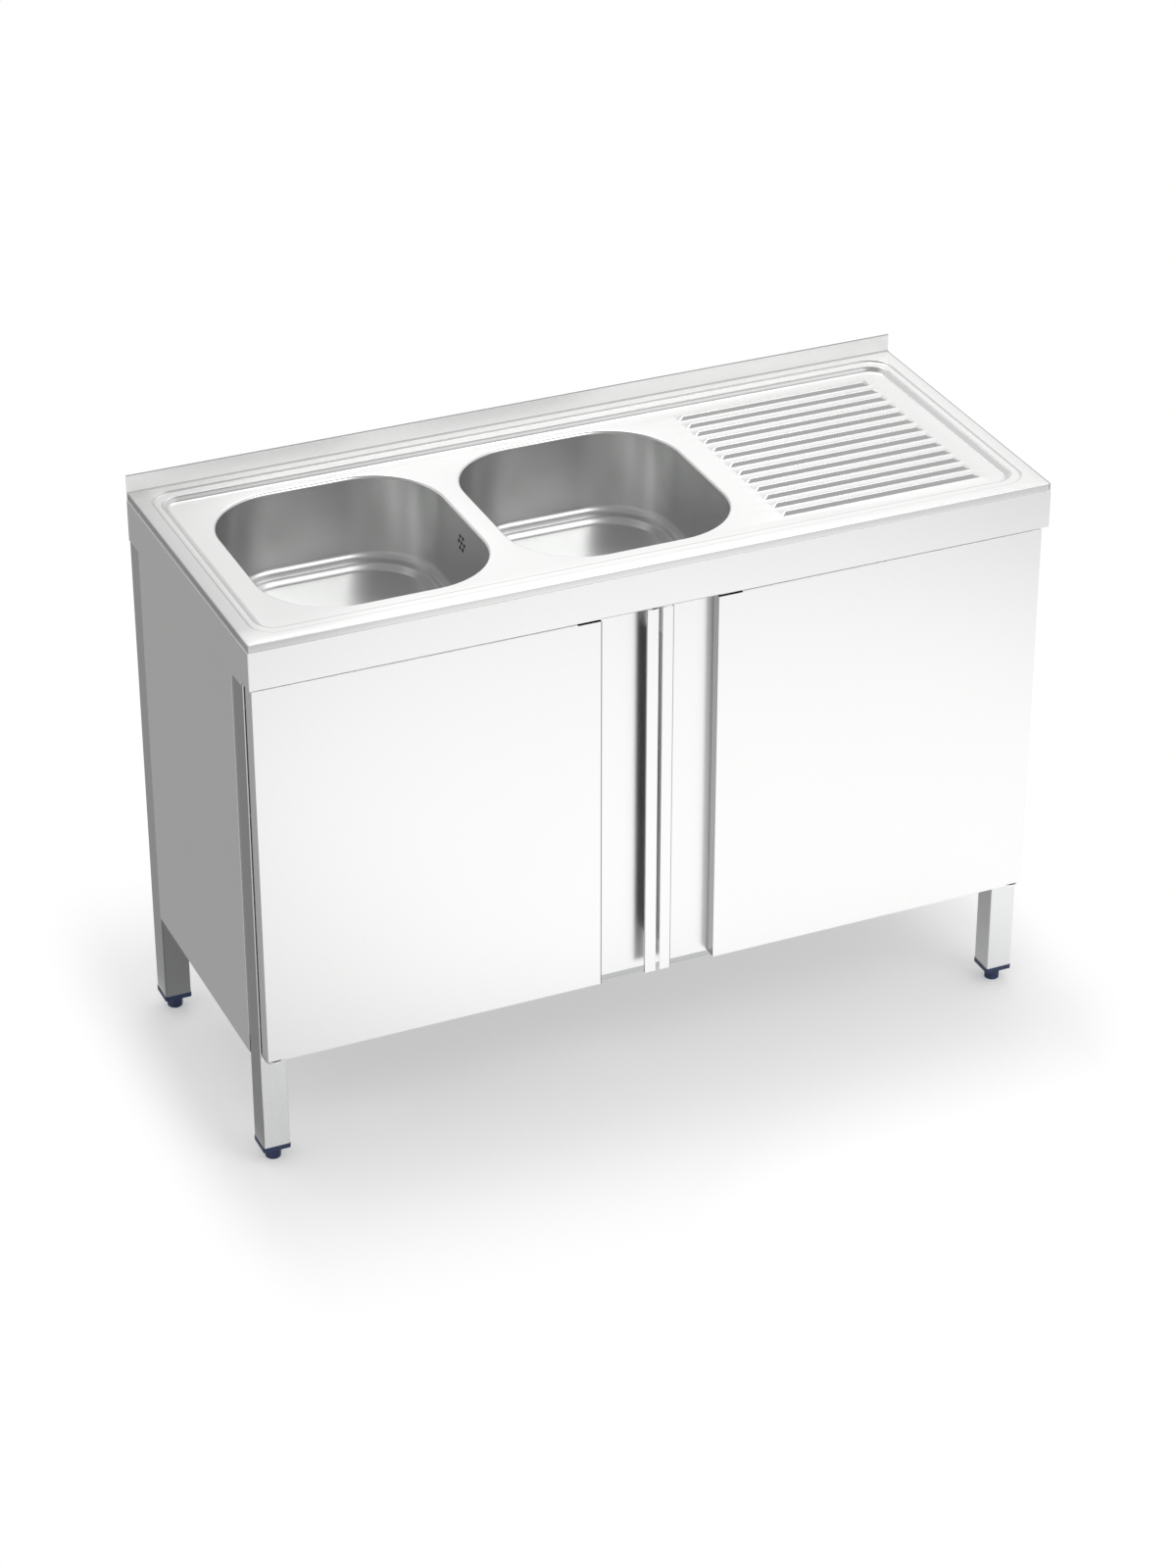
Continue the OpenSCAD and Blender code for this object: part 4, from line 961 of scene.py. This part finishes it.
# %% Painted shade lines of the apron and the upstand
# the apron, hem and root lines are painted shade
APRON_SHADE, APRON_BOX = 0.55, ((-0.0938, -0.2505, 0.7805), (0.0865, -0.2490, 0.7822))
UNDER_FOLD_BOX = ((-0.6, -0.26, 0.777), (0.6, -0.21, 0.785))
HEM_SHADE, HEM_BOX = 0.35, ((-0.61, 0.2, 0.8750), (0.61, 0.26, 0.8765))
ROOT_SHADE, ROOT_BOX = 0.60, ((-0.61, 0.2, 0.8490), (0.61, 0.26, 0.8512))


def apron_fold_shade(tree, colour):
    """The apron's colour with a line of painted shade along its lower fold above the recesses."""
    return masked(tree, colour, in_box(tree, *APRON_BOX), APRON_SHADE)


def under_fold(tree):
    """The scoured underside of the apron's lower fold."""
    return both(tree, facing(tree, DOWN), in_box(tree, *UNDER_FOLD_BOX))


def upstand_shade(tree, colour):
    """The upstand's colour with a line of painted shade along its hem and one along its root."""
    shown = masked(tree, colour, in_box(tree, *HEM_BOX), HEM_SHADE)
    return masked(tree, shown, in_box(tree, *ROOT_BOX), ROOT_SHADE)


apron_steel = metal("apron_steel", (0.98, 0.98, 0.975), 0.28, ALONG_X, bump=0.01, extra=apron_fold_shade,
                    scoured=under_fold)
upstand_steel = metal("upstand_steel", (0.97, 0.97, 0.965), 0.42, ALONG_X, streak=0.03, bump=0.01,
                      metallic=0.35, extra=upstand_shade)
print("front and back:", apron_steel.name, upstand_steel.name)

# %% [markdown]
# ## The tubes and the other steels
# A front leg's left side is painted a little darker than its front, a painted shade. The rear legs
# stand in the shade of the shelf, so they get a darker copy of the steel, painted darker still in
# front, as painted shade. The bowls are brushed crosswise, so their grain has no direction, and small
# hidden pieces keep the dull grey of the mill.

# %% The other metals
# colour factors of painted shade on the legs' left sides and the rear legs' fronts
TUBE_SIDE_SHADE, REAR_FRONT_SHADE = 0.60, 0.42


def tube_side_shade(tree, colour):
    """The front legs' colour, with painted shade on the left sides."""
    return masked(tree, colour, facing(tree, LEFT), TUBE_SIDE_SHADE)


def shaded_front(tree, colour):
    """The rear legs' colour, with painted shade in front."""
    return masked(tree, colour, facing(tree, FRONT), REAR_FRONT_SHADE)


shelf_steel = metal("shelf_steel", (0.85, 0.85, 0.845), 0.28, ALONG_X)
panel_steel = metal("panel_steel", (0.98, 0.98, 0.975), 0.28, ALONG_Z, streak=0.02, bump=0.002,
                    shade=0.01)
bowl_steel = metal("bowl_steel", (0.70, 0.705, 0.70), 0.30, CROSSED, streak=0.015, bump=0.0,
                   shade=0.02)
tube_steel = metal("tube_steel", (0.85, 0.855, 0.86), 0.28, ALONG_Z, extra=tube_side_shade)
# a darker copy of the tube steel, painted shade for the rear legs
shaded_rear_tube_steel = metal("shaded_rear_tube_steel", (0.68, 0.685, 0.69), 0.30, ALONG_Z, extra=shaded_front)
mill_steel = metal("mill_steel", (0.60, 0.61, 0.62), 0.42, MILLED, streak=0.08)
dark_steel = metal("dark_steel", (0.16, 0.16, 0.165), 0.45, MILLED, streak=0.08)
print("metals:", [m.name for m in bpy.data.materials if m.name.endswith("steel")])

# %% [markdown]
# ## Plastics and rubber
# The feet are moulded in dark blue plastic, the small inner parts in white plastic and black
# rubber. A mould leaves a finely grained skin, and its gloss changes slowly like clouds. Both come
# from noise in one more group, and each material sets how fine the grain is.

# %% The moulded skin as a node group
def moulded_skin():
    """The fine grained skin and the slow clouds of a moulded surface."""
    group, given, out = node_group("moulded_skin", [("Grain Scale", "NodeSocketFloat", 900.0)],
                                   [("Grain", "NodeSocketFloat"), ("Clouds", "NodeSocketFloat")])
    place = add(group, "ShaderNodeTexCoord")
    skin = add(group, "ShaderNodeTexNoise", Detail=3.0)
    cloud = add(group, "ShaderNodeTexNoise", Scale=60.0, Detail=2.0)
    link = group.links.new
    link(place.outputs["Object"], skin.inputs["Vector"])
    link(place.outputs["Object"], cloud.inputs["Vector"])
    link(given.outputs["Grain Scale"], skin.inputs["Scale"])
    link(skin.outputs["Fac"], out.inputs["Grain"])
    link(cloud.outputs["Fac"], out.inputs["Clouds"])
    return group


SKIN = moulded_skin()
print("group:", SKIN.name)

# %% The plastics and the rubber
CLOUDY, DEEPER, PALER = 0.08, 0.85, 1.12


def moulded(name, tint, rough, grain_scale, bump):
    """Moulded plastic or rubber: an even colour with cloudy gloss and a fine grained skin."""
    material = bpy.data.materials.new(name)
    material.use_nodes = True
    tree = material.node_tree
    shader = tree.nodes["Principled BSDF"]
    skin = placed(tree, SKIN)
    skin.inputs["Grain Scale"].default_value = grain_scale
    gloss = add(tree, "ShaderNodeMapRange", To_Min=rough - CLOUDY, To_Max=rough + CLOUDY)
    colour = add(tree, "ShaderNodeMix", data_type="RGBA")
    colour.inputs["A"].default_value = (*[c * DEEPER for c in tint], 1)
    colour.inputs["B"].default_value = (*[min(1, c * PALER) for c in tint], 1)
    bumped = add(tree, "ShaderNodeBump", Strength=bump, Distance=0.0005)
    link = tree.links.new
    link(skin.outputs["Clouds"], gloss.inputs["Value"])
    link(gloss.outputs["Result"], shader.inputs["Roughness"])
    link(skin.outputs["Clouds"], colour.inputs["Factor"])
    link(colour.outputs["Result"], shader.inputs["Base Color"])
    link(skin.outputs["Grain"], bumped.inputs["Height"])
    link(bumped.outputs["Normal"], shader.inputs["Normal"])
    return material


navy_plastic = moulded("navy_plastic", (0.012, 0.025, 0.085), 0.45, 1200, 0.15)
white_plastic = moulded("white_plastic", (0.80, 0.80, 0.78), 0.40, 900, 0.05)
black_rubber = moulded("black_rubber", (0.02, 0.02, 0.022), 0.65, 700, 0.2)
print("moulded:", navy_plastic.name, white_plastic.name, black_rubber.name)

# %% [markdown]
# ## Giving each piece its finish
# The CAD record names a material slot for every part, and that gives each one a first finish. Pieces
# that look different from others in the same slot have a finish of their own, listed by name.

# %% Finishes of all pieces
BY_SLOT = {"stainless_steel": panel_steel, "plain_steel": mill_steel, "navy_plastic": navy_plastic,
           "black_rubber": black_rubber, "white_plastic": white_plastic}
OWN_FINISH = {"front_apron": apron_steel, "bottom_shelf": shelf_steel, "overflow_housing": black_rubber,
              "catch_bracket": dark_steel}
for side in ("left", "right"):
    OWN_FINISH.update({f"door_skin_{side}": door_steel, f"leg_front_{side}": tube_steel,
                       f"leg_rear_{side}": shaded_rear_tube_steel, f"basket_{side}": bowl_steel,
                       f"strike_plate_{side}": dark_steel})


def finish(obj, material):
    """Puts one material on the whole object."""
    obj.data.materials.clear()
    obj.data.materials.append(material)


slots = {entry["node"]: entry["material_slot"] for entry in frame["record"]["subparts"]}
for name, obj in nodes.items():
    finish(obj, OWN_FINISH.get(name, BY_SLOT[slots[name]]))
finish(worktop, worktop_steel)
finish(upstand, upstand_steel)
for shell in bowls.values():
    finish(shell, bowl_steel)
print("own finishes:", len(OWN_FINISH), "of", len(nodes), "materials:", len(bpy.data.materials))

# %% [markdown]
# ## The studio
# The unit stands on a white floor that melts into a white background, and only its soft shadow
# shows. Steel looks like what it reflects, so most of its tones come from how pale or grey the
# studio is in each direction: a white floor in front for the doors, a white wall behind for the
# flat top, and a dimmer ceiling for the sloping sides of the ribs. Rays from the camera and from
# mirrors see this backdrop, while diffuse light comes from an even room, which keeps shadows soft.

# %% Which rays see the backdrop
def backdrop_ray(tree):
    """1 for the rays that should see a white backdrop: camera, glossy and transmission rays."""
    paths = add(tree, "ShaderNodeLightPath").outputs
    seen = either(tree, paths["Is Camera Ray"], paths["Is Glossy Ray"])
    return either(tree, seen, paths["Is Transmission Ray"])


def node_tree(data):
    """An empty node tree on a material or a world."""
    data.use_nodes = True
    data.node_tree.nodes.clear()
    return data.node_tree


print("helpers for the studio are ready")

# %% [markdown]
# ## The floor
# Close to the unit the floor is a plain diffuse white that holds its shadow. Further out it glows
# with strength 1, which is white, so no horizon shows. In mirrors it dims away from one pool in
# front, and that gives the doors and the apron their gentle shading from left to right. The camera
# sees the far floor at full strength all the same.

# %% Distances on the floor
def distance_outside(tree, half_x, half_y, stretch_x):
    """Distance from a rectangle on the floor, counted longer along X by stretch_x."""
    place = add(tree, "ShaderNodeTexCoord")
    folded = add(tree, "ShaderNodeVectorMath", operation="ABSOLUTE")
    beyond = add(tree, "ShaderNodeVectorMath", operation="SUBTRACT")
    beyond.inputs[1].default_value = (half_x, half_y, 0)
    clipped = add(tree, "ShaderNodeVectorMath", operation="MAXIMUM")
    stretched = add(tree, "ShaderNodeVectorMath", operation="MULTIPLY")
    stretched.inputs[1].default_value = (stretch_x, 1.0, 0)
    length = add(tree, "ShaderNodeVectorMath", operation="LENGTH")
    tree.links.new(place.outputs["Object"], folded.inputs[0])
    chain = (folded, beyond, clipped, stretched, length)
    for before, after in zip(chain, chain[1:]):
        tree.links.new(before.outputs[0], after.inputs[0])
    return length.outputs["Value"]


def distance_from(tree, point):
    """Distance from a point on the floor."""
    place = add(tree, "ShaderNodeTexCoord")
    gap = add(tree, "ShaderNodeVectorMath", operation="DISTANCE")
    gap.inputs[1].default_value = point
    tree.links.new(place.outputs["Object"], gap.inputs[0])
    return gap.outputs["Value"]


print("distances are measured from the unit's footprint and from one point")

# %% The floor
FLOOR_HALF = 9000
FOOTPRINT_X, FOOTPRINT_Y, STRETCH_X = 0.60, 0.25, 2.6
FLOOR_FADE = (0.02, 0.38, 0.30, 1.0)
POOL_PLACE, POOL = (0.48, -1.06, 0), (0.55, 1.50, 1.05, 0.64)


def studio_floor():
    """The floor: diffuse white under the unit, glowing white further out."""
    corners = [(x * FLOOR_HALF, y * FLOOR_HALF, 0) for x, y in ((-1, -1), (1, -1), (1, 1), (-1, 1))]
    floor = mesh_object("studio_floor", corners, [(0, 1, 2, 3)])
    material = bpy.data.materials.new("floor_white")
    tree = node_tree(material)
    link = tree.links.new
    out = add(tree, "ShaderNodeOutputMaterial")
    diffuse = add(tree, "ShaderNodeBsdfDiffuse", Color=(0.95, 0.95, 0.95, 1))
    glow = add(tree, "ShaderNodeEmission", Color=(1, 1, 1, 1), Strength=1.0)
    mix = add(tree, "ShaderNodeMixShader")
    pool = smooth_range(tree, distance_from(tree, POOL_PLACE), *POOL)
    to_camera = add(tree, "ShaderNodeLightPath").outputs["Is Camera Ray"]
    link(either(tree, pool, to_camera), glow.inputs["Strength"])
    fade = smooth_range(tree, distance_outside(tree, FOOTPRINT_X, FOOTPRINT_Y, STRETCH_X), *FLOOR_FADE)
    link(both(tree, backdrop_ray(tree), fade), mix.inputs["Fac"])
    link(diffuse.outputs[0], mix.inputs[1])
    link(glow.outputs[0], mix.inputs[2])
    link(mix.outputs[0], out.inputs["Surface"])
    finish(floor, material)
    return floor


floor = studio_floor()
print("floor:", [round(v, 1) for v in floor.dimensions])

# %% [markdown]
# ## A grey card
# The left side sheets are a middle grey in the photograph, although everything round them is white.
# They mirror the floor behind and to the left, so a grey card lies there. Only reflections see it.

# %% The card beside the unit
CARD_GREY = 0.33
CARD_CORNERS = ((-4200, -350, 4), (-615, -350, 4), (-615, 4200, 4), (-4200, 4200, 4))


def grey_card(name, corners, grey):
    """A card that only reflections see, as a photographer lays one beside bright metal."""
    card = mesh_object(name, corners, [(0, 1, 2, 3)])
    material = bpy.data.materials.new(name)
    tree = node_tree(material)
    out = add(tree, "ShaderNodeOutputMaterial")
    glow = add(tree, "ShaderNodeEmission", Color=(grey, grey, grey, 1), Strength=1.0)
    tree.links.new(glow.outputs[0], out.inputs["Surface"])
    finish(card, material)
    card.visible_camera = card.visible_diffuse = card.visible_shadow = False
    return card


card = grey_card("side_card", CARD_CORNERS, CARD_GREY)
print("card:", [round(v, 2) for v in card.dimensions])

# %% [markdown]
# ## The world
# In mirrors the world is white on the right and behind, up to about fifty degrees, and dimmer
# overhead. It is dim towards the front left, which darkens the right-hand walls of the bowls, about
# half as bright behind on the left, and a little dimmer at the far right. The camera itself sees
# plain white everywhere, and diffuse surfaces get the even light of a pale room. An image of a real
# studio would bring its own colours and shapes, and ramps in the world give only these tones.

# %% The world
CEILING, ROOM = 0.33, 0.80
LOW_SKY, RIGHT_SKY = (0.96, 0.78), (-0.27, 0.31)
BACK_SKY, FAR_RIGHT_SKY = (0.0, 0.35, 0.0, 0.55), (0.38, 0.62, 1.0, 0.75)


def studio_world(ceiling, room):
    """White to the camera, an even room for diffuse light, and for mirrors white walls with a
    dimmer ceiling and a dim front left."""
    world = bpy.data.worlds.new("studio_world")
    scene.world = world
    tree = node_tree(world)
    link = tree.links.new
    out = add(tree, "ShaderNodeOutputWorld")
    place = add(tree, "ShaderNodeTexCoord")
    axes = add(tree, "ShaderNodeSeparateXYZ")
    link(place.outputs["Generated"], axes.inputs[0])
    low = smooth_range(tree, axes.outputs["Z"], *LOW_SKY)
    right = smooth_range(tree, axes.outputs["X"], *RIGHT_SKY)
    behind = smooth_range(tree, axes.outputs["Y"], *BACK_SKY)
    far_right = smooth_range(tree, axes.outputs["X"], *FAR_RIGHT_SKY)
    lit = both(tree, either(tree, right, behind), far_right)
    level = add(tree, "ShaderNodeMapRange", To_Min=ceiling, To_Max=1.0)
    link(both(tree, low, lit), level.inputs["Value"])
    shown = add(tree, "ShaderNodeBackground", Color=(1, 1, 1, 1))
    even = add(tree, "ShaderNodeBackground", Color=(1, 1, 1, 1), Strength=room)
    mix = add(tree, "ShaderNodeMixShader")
    to_camera = add(tree, "ShaderNodeLightPath").outputs["Is Camera Ray"]
    link(either(tree, level.outputs["Result"], to_camera), shown.inputs["Strength"])
    link(backdrop_ray(tree), mix.inputs["Fac"])
    link(even.outputs[0], mix.inputs[1])
    link(shown.outputs[0], mix.inputs[2])
    link(mix.outputs[0], out.inputs["Surface"])
    return world


print("world:", studio_world(CEILING, ROOM).name)

# %% [markdown]
# ## The lamps
# One large soft lamp high behind the unit draws the white lines on the crests of the ribs and on
# every rolled edge, and casts the soft shadow forwards. A second one high in front lights the doors
# and the rims, and a weak one lower in front keeps the hollows open.

# %% The lamps
LAMPS = (("back_softbox", (1.4, 3.2, 4.9), (0, 0, 0.8), 2.6, 1.3, 2.4),
         ("front_softbox", (1.95, -3.6, 4.65), (-0.1, 0, 0.75), 2.6, 2.0, 2.2),
         ("front_fill", (2.0, -3.9, 3.2), (0, 0, 0.75), 3.2, 1.6, 0.45))


def softbox(name, place, target, width, height, radiance):
    """A large area lamp whose surface shines with the given radiance."""
    lamp = bpy.data.lights.new(name, "AREA")
    lamp.shape, lamp.size, lamp.size_y = "RECTANGLE", width, height
    lamp.energy = radiance * math.pi * width * height
    obj = bpy.data.objects.new(name, lamp)
    scene.collection.objects.link(obj)
    obj.location = place
    obj.rotation_euler = (Vector(target) - Vector(place)).to_track_quat("-Z", "Y").to_euler()
    obj.visible_camera = False
    return lamp


for lamp_values in LAMPS:
    print(lamp_values[0], "energy", round(softbox(*lamp_values).energy, 1))
scene.view_settings.view_transform = "Standard"
